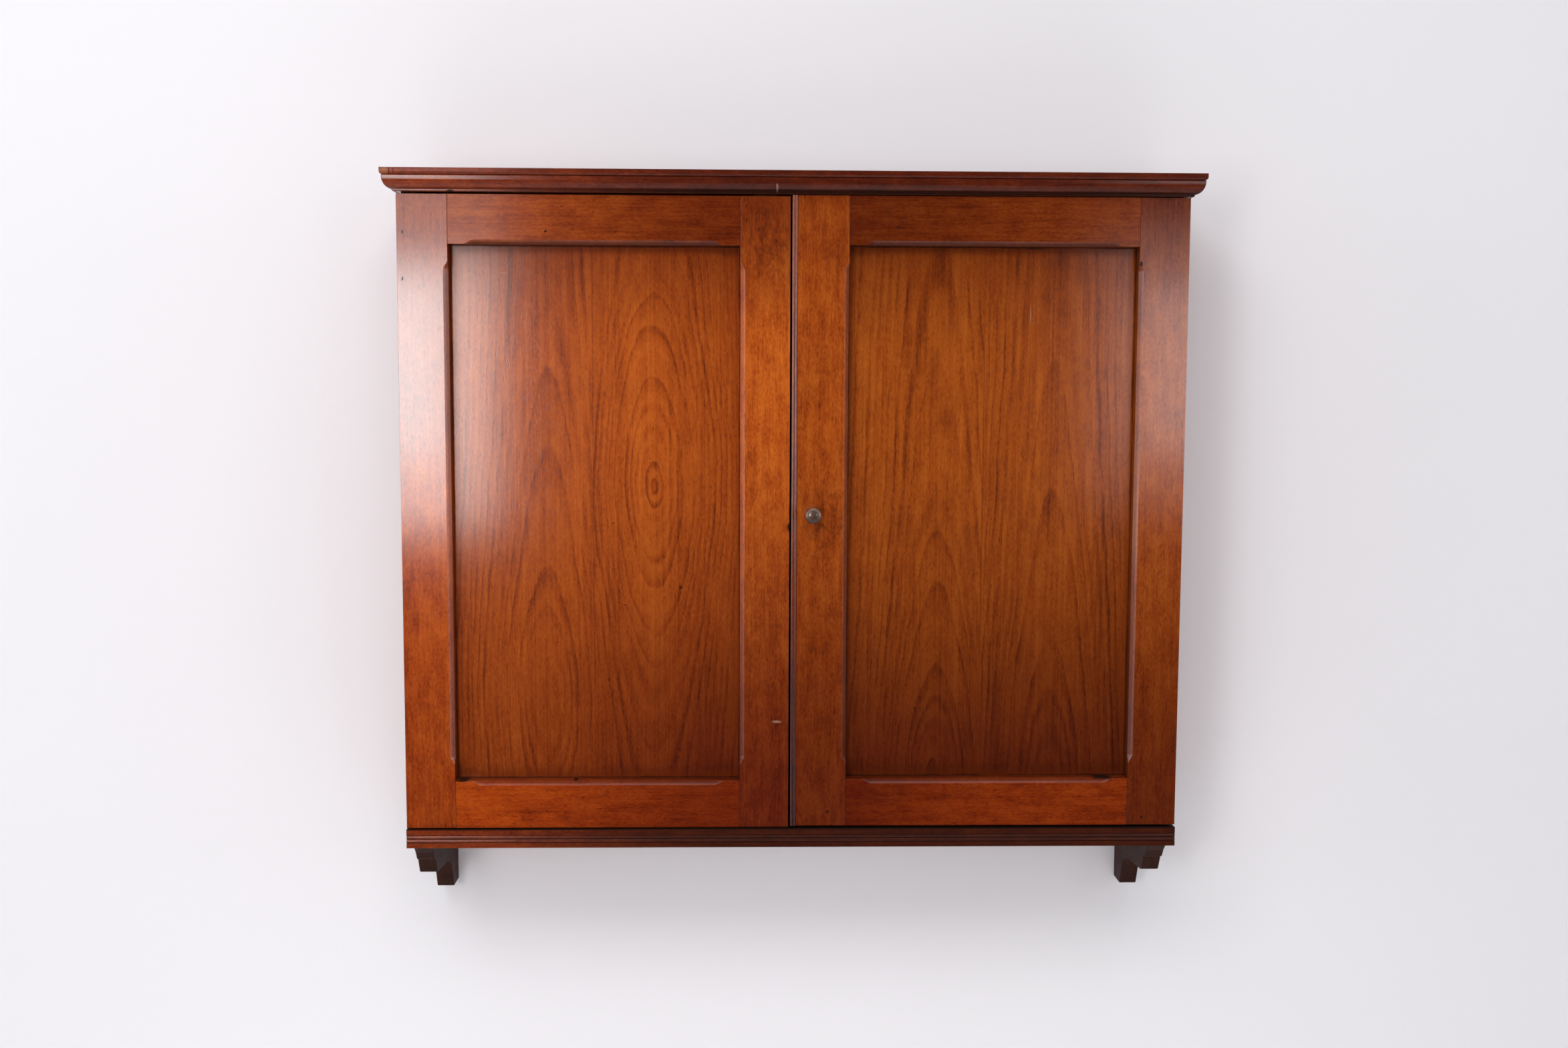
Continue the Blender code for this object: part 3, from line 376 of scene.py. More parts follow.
def wood(
    name,
    grain,
    tones,
    tone=(1.0, 1.0, 1.0),
    shade_ramps=(),
    boards=None,
    recess=None,
    joints=None,
    hollow=None,
    marks=(),
    dirt_and_shade_lines=(),
    polish=POLISHED,
    grime=0.30,
):
    """Wood. boards gives ring figure, recess the edges that dirt and painted shade gather at, joints two
    lines across the grain, hollow a front depth and how darkened, with dirt and painted shade, and how dull
    the chamfers behind it are, shade_ramps painted shade along ramps, dirt_and_shade_lines an amount of
    darkening, dirt in some lines and painted shade in others, and the ramps, untouched to darkening along an
    axis, that bound it."""
    finish = Finish(name)
    pale, deep, line = (tuple(a * b for a, b in zip(colour, tone)) for colour in tones)
    seed = sum(ord(letter) for letter in name) % 89 * 0.37
    along = finish.scaled(finish.place, (1, 1, 1), GRAIN_TURN[grain], (seed, seed * 0.6, seed * 1.7))
    if boards:
        right = finish.math("GREATER_THAN", finish.split(finish.place)["X"], boards["joint"])
        shift = finish.node("ShaderNodeCombineXYZ")
        finish.feed(shift.inputs["X"], right)
        finish.feed(shift.inputs["Z"], right)
        along = finish.vector("ADD", along, shift.outputs[0]).outputs[0]
    kind = "panel" if boards else "bare" if polish is BARE else "frame"
    sway, band_scale, fibre_scale, middle, weights = GRAIN[kind]
    drift = finish.noise(finish.scaled(along, SWAY_SCALE), 2.0).outputs["Color"]
    drift = finish.vector("SCALE", finish.vector("SUBTRACT", drift, (0.5, 0.5, 0.5)).outputs[0])
    drift.inputs["Scale"].default_value = sway
    swayed = finish.vector("ADD", along, drift.outputs[0]).outputs[0]
    bands = finish.noise(finish.scaled(swayed, band_scale), 3.0, 0.55).outputs["Fac"]
    fibres = finish.noise(finish.scaled(swayed, fibre_scale), 3.0, 0.60).outputs["Fac"]
    grit = finish.noise(finish.scaled(swayed, GRIT_SCALE), 2.0, 0.60).outputs["Fac"]
    mottle = finish.noise(finish.scaled(along, MOTTLE_SCALE), 5.0, 0.62).outputs["Fac"]
    pores = finish.noise(finish.scaled(swayed, PORE_SCALE), 1.0).outputs["Fac"]
    pores = finish.ramp(pores, 0.62, 0.76)
    depth = finish.total(middle, *zip((bands, fibres, grit, mottle), weights))
    depth = finish.math("MULTIPLY_ADD", pores, PORE_DEPTH, depth)
    if boards:
        depth = finish.math("MULTIPLY_ADD", ring_figure(finish, boards, right), RING_DEPTH, depth)
    colour = finish.gradient(depth, pale, deep, line)
    patches = finish.noise(finish.scaled(along, PATCH_SCALE), 6.0, 0.70).outputs["Fac"]
    colour = finish.mix(finish.ramp(patches, 0.50, 0.74, 0.0, grime), colour, line)
    # Painted shade: the colour deepens along each ramp, where the light falls off
    for ramp in shade_ramps:
        amount = finish.ramp(finish.split(finish.place)[ramp[0]], *ramp[1:])
        if ramp is FOOT_SHADE:
            lean = finish.ramp(finish.split(finish.place)["X"], *FOOT_SHADE_LEAN)
            amount = finish.math("MULTIPLY", amount, lean)
        colour = finish.mix(amount, colour, finish.mix(1.0, colour, SHADE_TINT, "MULTIPLY"))
    specks = finish.noise(finish.scaled(along, SPECK_SCALE), 1.0).outputs["Fac"]
    colour = finish.mix(finish.ramp(specks, 0.70, 0.78, 0.0, 0.65), colour, line)
    if boards:
        seam = finish.math("SUBTRACT", finish.split(finish.place)["X"], boards["joint"])
        seam = finish.ramp(finish.math("ABSOLUTE", seam), 0.0002, 0.0009, 0.45, 0.0)
        colour = finish.mix(seam, colour, line)
    dirt_and_shade = []
    # Dirt and painted shade along the panel's edges, where the frame overhangs it
    if recess:
        close, wide = recess_dirt_and_shade(finish, recess, patches)
        colour = finish.mix(wide, colour, line)
        colour = finish.mix(close, colour, DIRT_AND_SHADE)
        dirt_and_shade += [close, wide]
    if joints:
        dirt_and_shade.append(joint_lines(finish, joints, patches))
        colour = finish.mix(dirt_and_shade[-1], colour, DIRT_AND_SHADE)
    # Chamfers behind the front darken towards the stain colour, with dirt and painted shade, and lose their
    # polish
    if hollow:
        front, darkening, dull = hollow
        inward = finish.split(finish.place)["Y"]
        shaded = finish.ramp(inward, *(front + behind for behind in CHAMFER_START))
        ending = finish.ramp(inward, *(front + behind for behind in CHAMFER_END), 1.0, 0.0)
        shaded = finish.math("MULTIPLY", shaded, ending)
        dirt_and_shade.append(finish.math("MULTIPLY", shaded, dull))
        colour = finish.mix(finish.math("MULTIPLY", shaded, darkening), colour, STAIN_AND_SHADE)
    # Each line darkens towards the dirt colour: dirt in joints and hollows, painted shade under and away from
    # the light
    for darkened, *ramps in dirt_and_shade_lines:
        for axis, untouched, darkening in ramps:
            ramp = finish.ramp(finish.split(finish.place)[axis], untouched, darkening)
            darkened = finish.math("MULTIPLY", ramp, darkened)
        dirt_and_shade.append(darkened)
        colour = finish.mix(darkened, colour, DIRT_AND_SHADE)
    for kind, *shape in marks:
        tint, amount = MARK_KINDS[kind]
        amount = mark_amount(finish, kind, amount, *shape)
        colour = finish.mix(amount, colour, tint)
        if kind != "patch":
            dirt_and_shade.append(amount)
    finish.feed(finish.shader.inputs["Base Color"], colour)
    finish.feed(finish.shader.inputs["Roughness"], finish.ramp(patches, 0.30, 0.75, 0.48, 0.60))
    finish.shader.inputs["Specular IOR Level"].default_value = 0.04
    coat, coat_roughness = polish
    for matt in dirt_and_shade:
        coat = finish.math("MULTIPLY", coat, finish.math("MULTIPLY_ADD", matt, -0.95, 1.0))
    finish.gloss(coat, coat_roughness)
    ripple = finish.noise(finish.scaled(swayed, RIPPLE_SCALE), 2.0).outputs["Fac"]
    height = finish.math("MULTIPLY_ADD", fibres, 0.25, ripple)
    height = finish.math("MULTIPLY_ADD", pores, -PORE_DEPTH, height)
    finish.bump("Normal", height, 0.22, 0.0006)
    finish.bump("Coat Normal", height, 0.05, 0.0006)
    return finish.material


def ring_figure(finish, boards, right):
    """1 at the dark end of each ring, down to 0: ovals about a board's eye, straight lines beside them."""
    warp = finish.noise(finish.scaled(finish.place, (9, 9, 5)), 4.0, 0.56)
    push = finish.vector("SUBTRACT", warp.outputs["Color"], (0.5, 0.5, 0.5)).outputs[0]
    push = finish.vector("MULTIPLY", push, (0.016, 0.0, 0.080)).outputs[0]
    across, _, height = finish.split(finish.vector("ADD", finish.place, push).outputs[0])

    def of_board(values):
        return finish.math("MULTIPLY_ADD", right, values[1] - values[0], values[0])

    aside = finish.math("SUBTRACT", across, of_board(boards["centre"]))
    up = finish.math("SUBTRACT", height, of_board(boards["eye"]))
    stretch = finish.math("MULTIPLY_ADD", finish.math("ABSOLUTE", up), RING_STRETCH, 1.0)
    up = finish.math("DIVIDE", finish.math("MULTIPLY", up, of_board(boards["narrow"])), stretch)
    heart = of_board([value * value for value in boards["heart"]])
    away = finish.math("MULTIPLY_ADD", up, up, finish.math("MULTIPLY_ADD", aside, aside, heart))
    count = finish.math("DIVIDE", finish.math("SQRT", away), of_board(boards["spacing"]))
    turn = finish.math("FRACT", count)
    ring = finish.math("SUBTRACT", finish.ramp(turn, 0.10, 0.84), finish.ramp(turn, 0.88, 1.0))
    by_ring = finish.node("ShaderNodeTexNoise", noise_dimensions="1D")
    finish.feed(by_ring.inputs["W"], count)
    by_ring.inputs["Scale"].default_value = 0.83
    strength = finish.ramp(by_ring.outputs["Fac"], 0.34, 0.68, 0.15, 1.0)
    worn = finish.noise(finish.scaled(finish.place, (30, 30, 9), shift=(3, 1, 7)), 3.0).outputs["Fac"]
    strength = finish.math("MULTIPLY", strength, finish.ramp(worn, 0.32, 0.62, 0.20, 1.0))
    return finish.math("MULTIPLY", ring, strength)


def recess_dirt_and_shade(finish, recess, patches):
    """Dirt and painted shade along the edges of a recess, left, right, foot and head: thick close by, thin
    further off.
    """
    across, _, height = finish.split(finish.place)
    left, right, foot, head = recess
    near = finish.math("SUBTRACT", across, left)
    near = finish.math("MINIMUM", near, finish.math("SUBTRACT", right, across))
    near = finish.math("MINIMUM", near, finish.math("SUBTRACT", height, foot))
    near = finish.math("MINIMUM", near, finish.math("SUBTRACT", head, height))
    near = finish.math("MULTIPLY_ADD", finish.math("SUBTRACT", patches, 0.5), 0.006, near)
    close = finish.ramp(near, 0.0002, 0.0022, 0.75, 0.0)
    wide = finish.ramp(near, 0.0, 0.014, 0.45, 0.0)
    return close, wide


def joint_lines(finish, joints, patches):
    """Dirt in the joints where a rail's shoulders meet the stiles."""
    across = finish.split(finish.place)["X"]
    near = [finish.math("ABSOLUTE", finish.math("SUBTRACT", across, joint)) for joint in joints]
    near = finish.math("MINIMUM", *near)
    uneven = finish.ramp(patches, 0.34, 0.58, 0.35, 1.0)
    return finish.math("MULTIPLY", finish.ramp(near, 0.0006, 0.0016, 0.32, 0.0), uneven)


def mark_amount(finish, kind, amount, across, height, width, tall):
    """How strongly a mark shows: round or long, ragged at its edge, and blotchy where it is a stain."""
    away = finish.vector("SUBTRACT", finish.place, (across, 0, height)).outputs[0]
    away = finish.vector("MULTIPLY", away, (1 / width, 0, 1 / tall)).outputs[0]
    rough = finish.noise(finish.scaled(finish.place, (420, 420, 420)), 2.0).outputs["Fac"]
    far = finish.math("ADD", finish.vector("LENGTH", away).outputs["Value"], rough)
    if kind != "stain":
        return finish.ramp(far, 1.0, 1.6, amount, 0.0)
    blotches = finish.noise(finish.scaled(finish.place, (150, 150, 110)), 5.0, 0.70).outputs["Fac"]
    return finish.math("MULTIPLY", finish.ramp(far, 0.6, 1.7, amount, 0.0), finish.ramp(blotches, 0.42, 0.66))


def metal(name, colour, dull, roughness, stain, scale, polish=BARE, shaded_below=None):
    """Handled metal: a base colour, a duller one in clouds, and fine scratches. shaded_below gives the
    heights between which painted shade, in the stain colour, fades out over the lower part."""
    finish = Finish(name)
    clouds = finish.noise(finish.scaled(finish.place, (scale,) * 3), 5.0, 0.65).outputs["Fac"]
    scratches = finish.noise(finish.scaled(finish.place, (2600, 2600, 190)), 2.0).outputs["Fac"]
    tint = finish.mix(finish.ramp(clouds, 0.35, 0.70), colour, dull)
    tint = finish.mix(finish.ramp(scratches, 0.60, 0.80, 0.0, 0.30), tint, stain)
    # Painted shade: the lower part darkens towards the stain colour
    if shaded_below:
        low = finish.ramp(finish.split(finish.place)["Z"], *shaded_below, 0.90, 0.0)
        tint = finish.mix(low, tint, stain)
    finish.feed(finish.shader.inputs["Base Color"], tint)
    finish.shader.inputs["Metallic"].default_value = 1.0
    uneven = finish.ramp(clouds, 0.30, 0.75, roughness, roughness * 1.5)
    finish.feed(finish.shader.inputs["Roughness"], uneven)
    finish.gloss(*polish)
    finish.bump("Normal", finish.math("MULTIPLY_ADD", scratches, 0.4, clouds), 0.06, 0.0002)
    return finish.material


def merged(node):
    """A copy of a node's mesh with its loose triangles merged into whole faces."""
    shape = bmesh.new()
    shape.from_mesh(NODES[node].data)
    bmesh.ops.remove_doubles(shape, verts=shape.verts, dist=MERGE_DISTANCE)
    bmesh.ops.dissolve_limit(shape, angle_limit=FLAT_ANGLE, verts=shape.verts, edges=shape.edges)
    mesh = bpy.data.meshes.new(node)
    shape.to_mesh(mesh)
    shape.free()
    return mesh


def plain_mesh(piece):
    """Replaces a piece's mesh by the result of its modifiers, and removes them."""
    bpy.context.view_layer.update()
    shaped = piece.evaluated_get(bpy.context.evaluated_depsgraph_get())
    mesh = bpy.data.meshes.new_from_object(shaped)
    piece.modifiers.clear()
    piece.data = mesh


def new_object(name, mesh):
    made = bpy.data.objects.new(name, mesh)
    bpy.context.scene.collection.objects.link(made)
    return made


def dress(piece, material, body, slot, *nodes):
    piece.data.materials.clear()
    piece.data.materials.append(material)
    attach(piece, body)
    if nodes:
        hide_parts(*nodes)


def worn_piece(node, wear, material):
    """Stands for a node: the same solid with its edges worn round."""
    mesh = merged(node)
    mesh.shade_smooth()
    mesh.set_sharp_from_angle(angle=SHARP_ANGLE)
    piece = new_object(f"worn_{node}", mesh)
    bevel = piece.modifiers.new("wear", "BEVEL")
    bevel.width = wear
    bevel.segments = 2
    bevel.limit_method = "ANGLE"
    bevel.angle_limit = SHARP_ANGLE
    flats = piece.modifiers.new("flats", "WEIGHTED_NORMAL")
    flats.mode = "FACE_AREA"
    flats.weight = 100
    flats.keep_sharp = True
    plain_mesh(piece)
    dress(piece, material, BODY_OF[node], SLOT_OF[node], node)


def opening(side):
    """Left, right, foot and head of a door's panel as it shows between the frame members."""
    stiles = [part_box(f"{side}_{role}_stile") for role in ("hinge", "meeting")]
    stiles.sort(key=lambda box: box[0].x)
    left = stiles[0][1].x
    right = stiles[1][0].x
    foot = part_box(f"{side}_bottom_rail")[1].z
    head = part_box(f"{side}_top_rail")[0].z
    return left, right, foot, head


def dress_doors():
    for side, boards in (("left", LEFT_PANEL_BOARDS), ("right", RIGHT_PANEL_BOARDS)):
        for member, grain in (
            ("hinge_stile", "Z"),
            ("meeting_stile", "Z"),
            ("top_rail", "X"),
            ("bottom_rail", "X"),
        ):
            node = f"{side}_{member}"
            material = wood(
                f"{node}_wood",
                grain,
                AMBER,
                TONE[node],
                PAINTED_SHADE[node],
                joints=opening(side)[:2] if grain == "X" else None,
                hollow=(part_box(node)[0].y, *CHAMFERS[node]),
                marks=MARKS[node],
                polish=RAIL_POLISH if grain == "X" else POLISHED,
            )
            worn_piece(node, FRAME_WEAR, material)
        node = f"{side}_panel"
        material = wood(
            f"{node}_wood",
            "Z",
            PANEL_AMBER,
            TONE[node],
            PAINTED_SHADE[node],
            boards,
            opening(side),
            marks=MARKS[node],
            polish=PANEL_POLISH,
        )
        worn_piece(node, FRAME_WEAR, material)
    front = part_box("meeting_bead")[0].y
    bead = wood(
        "meeting_bead_wood",
        "Z",
        RED_BROWN,
        TONE["meeting_bead"],
        [FOOT_SHADE],
        # Darker on its sides, more than 1.6 mm behind its front, beside the gap between the doors
        dirt_and_shade_lines=[(0.85, ("Y", front + 0.0003, front + 0.0016))],
    )
    worn_piece("meeting_bead", METAL_WEAR, bead)


def board_edges(node):
    """Dirt in the joints at both edges of a back board."""
    low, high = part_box(node)
    lines = []
    for edge, inward in ((low.x, 1), (high.x, -1)):
        lines.append((0.75, ("X", edge + inward * 0.0030, edge + inward * 0.0008)))
    return lines


def dress_carcass():
    for side in ("left", "right"):
        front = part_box(f"side_{side}")[0].y
        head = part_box(f"{side}_top_rail")[1].z
        # Painted shade on the sides' front edges in the slot above the doors
        shade_over_door = (0.95, ("Y", front + 0.0030, front + 0.0006), ("Z", head - 0.012, head - 0.004))
        board = wood(
            f"side_{side}_wood",
            "Z",
            AMBER,
            TONE["side"],
            dirt_and_shade_lines=[shade_over_door],
            polish=SIDE_POLISH,
        )
        worn_piece(f"side_{side}", CARCASS_WEAR, board)
        bracket = wood(f"bracket_{side}_wood", "Y", NEAR_BLACK, polish=DULLED)
        worn_piece(f"bracket_{side}", BRACKET_WEAR, bracket)
        cornice = wood(f"cornice_{side}_wood", "Y", RED_BROWN, TONE["cornice_return"], polish=RUBBED)
        worn_piece(f"cornice_{side}", MOULDING_WEAR, cornice)
    worn_piece("carcass_top", CARCASS_WEAR, wood("carcass_top_wood", "X", AMBER, TONE["carcass_top"]))
    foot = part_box("cornice_front")[0].z
    # Painted shade on the cornice's lowest fillet, growing away from the window
    shade_under_cornice = ("Z", foot + 0.0050, foot + 0.0028)
    for node in ("cornice_front", "top_board"):
        moulding = wood(
            f"{node}_wood",
            "X",
            RED_BROWN,
            TONE[node],
            [MOULDING_SHADE],
            marks=MARKS[node],
            dirt_and_shade_lines=[(0.24, DULL_AND_SHADED_AWAY), (0.75, shade_under_cornice, DULL_AND_SHADED_AWAY)],
            polish=RUBBED,
            grime=0.65,
        )
        worn_piece(node, MOULDING_WEAR, moulding)
    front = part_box("base_board")[0].y
    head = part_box("base_board")[1].z
    under_door = ("Y", front + 0.0300, front + 0.0270)
    base = wood(
        "base_board_wood",
        "X",
        RED_BROWN,
        TONE["base_board"],
        [MOULDING_SHADE],
        marks=MARKS["base_board"],
        # Darker in the reeds' hollows, 2 to 6 mm behind the front; painted shade on the top within 27 mm of
        # the front, in the gap under the doors, and painted shade away from the window
        dirt_and_shade_lines=[
            (0.85, ("Y", front + 0.0004, front + 0.0017), ("Y", front + 0.0100, front + 0.0060)),
            (0.95, ("Z", head - 0.0015, head - 0.0004), under_door),
            (0.62, DULL_AND_SHADED_AWAY, under_door),
        ],
        polish=RAIL_POLISH,
    )
    worn_piece("base_board", MOULDING_WEAR, base)
    for node, slot in SLOT_OF.items():
        if slot == "inside_wood":
            kind = node.split("_")[0]
            grain = {"back": "Z", "cleat": "Y"}.get(kind, "X")
            tone = BACK_BOARD_TONES[int(node[-1]) - 1] if kind == "back" else BARE_BOARD_TONE
            material = wood(
                f"{node}_wood",
                grain,
                SOFTWOOD,
                tuple(tone * part for part in YELLOWED),
                dirt_and_shade_lines=board_edges(node) if kind == "back" else (),
                polish=BARE,
            )
            worn_piece(node, CARCASS_WEAR, material)


def dress_metal():
    brass = metal("dulled_brass", *BRASS)
    steel = metal("dull_steel", *STEEL)
    low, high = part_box("knob")
    # Painted shade on the knob's lower part
    shaded_below = (low.z, low.z + (high.z - low.z) * KNOB_SHADED_SHARE)
    browned = metal("browned_metal", *BROWNED, KNOB_POLISH, shaded_below)
    for node, slot in SLOT_OF.items():
        if slot == "brass":
            worn_piece(node, METAL_WEAR, brass)
        elif slot == "steel":
            worn_piece(node, METAL_WEAR, steel)
    worn_piece("knob_rose", METAL_WEAR * 2, browned)
    turned_knob(browned)
    return brass, steel


# The knob's turning. Its collar is given as radii and heights over the rose
KNOB_SIDES = 72
KNOB_CURVE_STEPS = 16
KNOB_DOME_RISE = 0.004
KNOB_UNDERSIDE = 0.008
KNOB_NECK_RADIUS = 0.0036
KNOB_COLLAR = ((KNOB_NECK_RADIUS, 0.0021), (0.0046, 0.0017), (0.0052, 0.0013), (0.0052, 0.0003))
SHANK_RADIUS = 0.0025
SHANK_TIP_RADIUS = 0.0022
SHANK_TIP_LENGTH = 0.0003


def turned_knob(material):
    """The knob on its shank, turned finely round the same axis as the node it stands for."""
    low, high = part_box("knob")
    axis = Vector(((low.x + high.x) / 2, 0, (low.z + high.z) / 2))
    radius = (high.x - low.x) / 2
    rim = low.y + KNOB_DOME_RISE
    rose_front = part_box("knob_rose")[0].y
    under = math.acos(KNOB_NECK_RADIUS / radius)
    profile = [(0.0, low.y)]
    for i in range(1, KNOB_CURVE_STEPS + 1):
        angle = math.pi / 2 * i / KNOB_CURVE_STEPS
        profile.append((radius * math.sin(angle), rim - KNOB_DOME_RISE * math.cos(angle)))
    for i in range(1, KNOB_CURVE_STEPS + 1):
        angle = under * i / KNOB_CURVE_STEPS
        profile.append((radius * math.cos(angle), rim + KNOB_UNDERSIDE * math.sin(angle)))
    profile += [(away, rose_front - over) for away, over in KNOB_COLLAR]
    profile.append((SHANK_RADIUS, profile[-1][1]))
    profile.append((SHANK_RADIUS, high.y - SHANK_TIP_LENGTH))
    profile += [(SHANK_TIP_RADIUS, high.y), (0.0, high.y)]
    shape = bmesh.new()
    rings = []
    for away, depth in profile:
        ring = []
        for i in range(KNOB_SIDES if away else 1):
            angle = 2 * math.pi * i / KNOB_SIDES
            place = axis + Vector((away * math.cos(angle), depth, away * math.sin(angle)))
            ring.append(shape.verts.new(place))
        rings.append(ring)
    for first, second in zip(rings, rings[1:]):
        for i in range(KNOB_SIDES):
            corners = [first[i % len(first)], first[(i + 1) % len(first)]]
            corners += [second[(i + 1) % len(second)], second[i % len(second)]]
            shape.faces.new(list(dict.fromkeys(corners)))
    bmesh.ops.recalc_face_normals(shape, faces=shape.faces)
    mesh = bpy.data.meshes.new("turned_knob")
    shape.to_mesh(mesh)
    shape.free()
    mesh.shade_smooth()
    mesh.set_sharp_from_angle(angle=SHARP_ANGLE * 1.3)
    dress(new_object("turned_knob", mesh), material, BODY_OF["knob"], SLOT_OF["knob"], "knob")


# Fastener heads, and the sizes of each kind
HEAD_SIDES = 20
HEAD_TAPER = 0.86
BRASS_SCREW = {"Head Radius": 0.0025, "Head Height": 0.00012, "Slot Width": 0.0006, "Slot Depth": 0.00010}
STEEL_SCREW = {"Head Radius": 0.0040, "Head Height": 0.0008, "Slot Width": 0.0009, "Slot Depth": 0.0006}
NAIL = {"Head Radius": 0.0019, "Head Height": 0.0003}

# Where they sit: depths of the hinge leaves' faces, shares of a leaf's height with insets from its inner
# edge, insets from the sides and ends of each plate, the plates' thickness, shares of a cleat's and of the
# rail's length, and the nails' inset from a board's edges
CARCASS_LEAF_FACE = -0.1557
DOOR_LEAF_FACE = -0.1560
LEAF_SCREWS = ((0.16, 0.0055), (0.5, 0.0085), (0.84, 0.0055))
PLATE_SIDE_INSET = 0.0042
PLATE_END_INSETS = {"latch_back_plate": 0.0042, "latch_strike": 0.0042, "bolt_plate": 0.0028}
PLATE_THICKNESS = 0.0012
CLEAT_SCREWS = (0.2, 0.8)
RAIL_SCREWS = (0.08, 0.36, 0.64, 0.92)
NAIL_INSET = 0.030


def fastener_tree(name, slotted):
    """Heads set on points, each facing along its point's facing vector and turned by chance about it."""
    tree = bpy.data.node_groups.new(name, "GeometryNodeTree")
    tree.is_modifier = True
    tree.interface.new_socket("Places", in_out="INPUT", socket_type="NodeSocketGeometry")
    for label in ("Head Radius", "Head Height", "Slot Width", "Slot Depth"):
        tree.interface.new_socket(label, in_out="INPUT", socket_type="NodeSocketFloat")
    tree.interface.new_socket("Seed", in_out="INPUT", socket_type="NodeSocketInt")
    tree.interface.new_socket("Finish", in_out="INPUT", socket_type="NodeSocketMaterial")
    tree.interface.new_socket("Heads", in_out="OUTPUT", socket_type="NodeSocketGeometry")
    nodes = Nodes(tree)

    def node(kind, values=None, **settings):
        made = nodes.node(kind, **settings)
        for key, value in (values or {}).items():
            nodes.feed(made.inputs[key], value)
        return made

    given = node("NodeGroupInput").outputs
    rim = nodes.math("MULTIPLY", given["Head Radius"], HEAD_TAPER)
    head = node(
        "GeometryNodeMeshCone",
        {
            "Vertices": HEAD_SIDES,
            "Radius Top": rim,
            "Radius Bottom": given["Head Radius"],
            "Depth": given["Head Height"],
        },
    ).outputs["Mesh"]
    if slotted:
        length = nodes.math("MULTIPLY", given["Head Radius"], 3.0)
        deep = nodes.math("MULTIPLY", given["Slot Depth"], 2.0)
        size = node("ShaderNodeCombineXYZ", {0: length, 1: given["Slot Width"], 2: deep})
        slot = node("GeometryNodeMeshCube", {"Size": size.outputs[0]})
        up = node("ShaderNodeCombineXYZ", {2: given["Head Height"]})
        placed = node("GeometryNodeTransform", {"Geometry": slot.outputs[0], "Translation": up.outputs[0]})
        cut = node(
            "GeometryNodeMeshBoolean",
            {"Mesh 1": head, "Mesh 2": placed.outputs[0]},
            operation="DIFFERENCE",
        )
        head = cut.outputs[0]
    facing = node("GeometryNodeInputNamedAttribute", {"Name": "facing"}, data_type="FLOAT_VECTOR")
    aligned = node("FunctionNodeAlignRotationToVector", {"Vector": facing.outputs[0]}, axis="Z")
    chance = node("FunctionNodeRandomValue", {"Seed": given["Seed"]}, data_type="FLOAT")
    chance.inputs[3].default_value = 2 * math.pi
    spin = node("ShaderNodeCombineXYZ", {2: chance.outputs[1]})
    spin = node("FunctionNodeEulerToRotation", {0: spin.outputs[0]})
    turned = node(
        "FunctionNodeRotateRotation",
        {"Rotation": aligned.outputs[0], "Rotate By": spin.outputs[0]},
        rotation_space="LOCAL",
    )
    heads = node(
        "GeometryNodeInstanceOnPoints",
        {"Points": given["Places"], "Instance": head, "Rotation": turned.outputs[0]},
    )
    real = node("GeometryNodeRealizeInstances", {"Geometry": heads.outputs[0]})
    finished = node("GeometryNodeSetMaterial", {"Geometry": real.outputs[0], "Material": given["Finish"]})
    node("NodeGroupOutput", {"Heads": finished.outputs[0]})
    return tree


def fasteners(name, tree, places, sizes, material, body, slot):
    """One mesh of heads for one body. places are pairs of a point and the direction its head faces."""
    mesh = bpy.data.meshes.new(name)
    mesh.from_pydata([point for point, _ in places], [], [])
    facing = mesh.attributes.new("facing", "FLOAT_VECTOR", "POINT")
    for row, (_, direction) in zip(facing.data, places):
        row.vector = direction
    piece = new_object(name, mesh)
    modifier = piece.modifiers.new("heads", "NODES")
    modifier.node_group = tree
    inputs = tree.interface.items_tree
    for label, value in sizes.items():
        modifier[inputs[label].identifier] = value
    modifier[inputs["Seed"].identifier] = len(name)
    modifier[inputs["Finish"].identifier] = material
    plain_mesh(piece)
    dress(piece, material, body, slot)


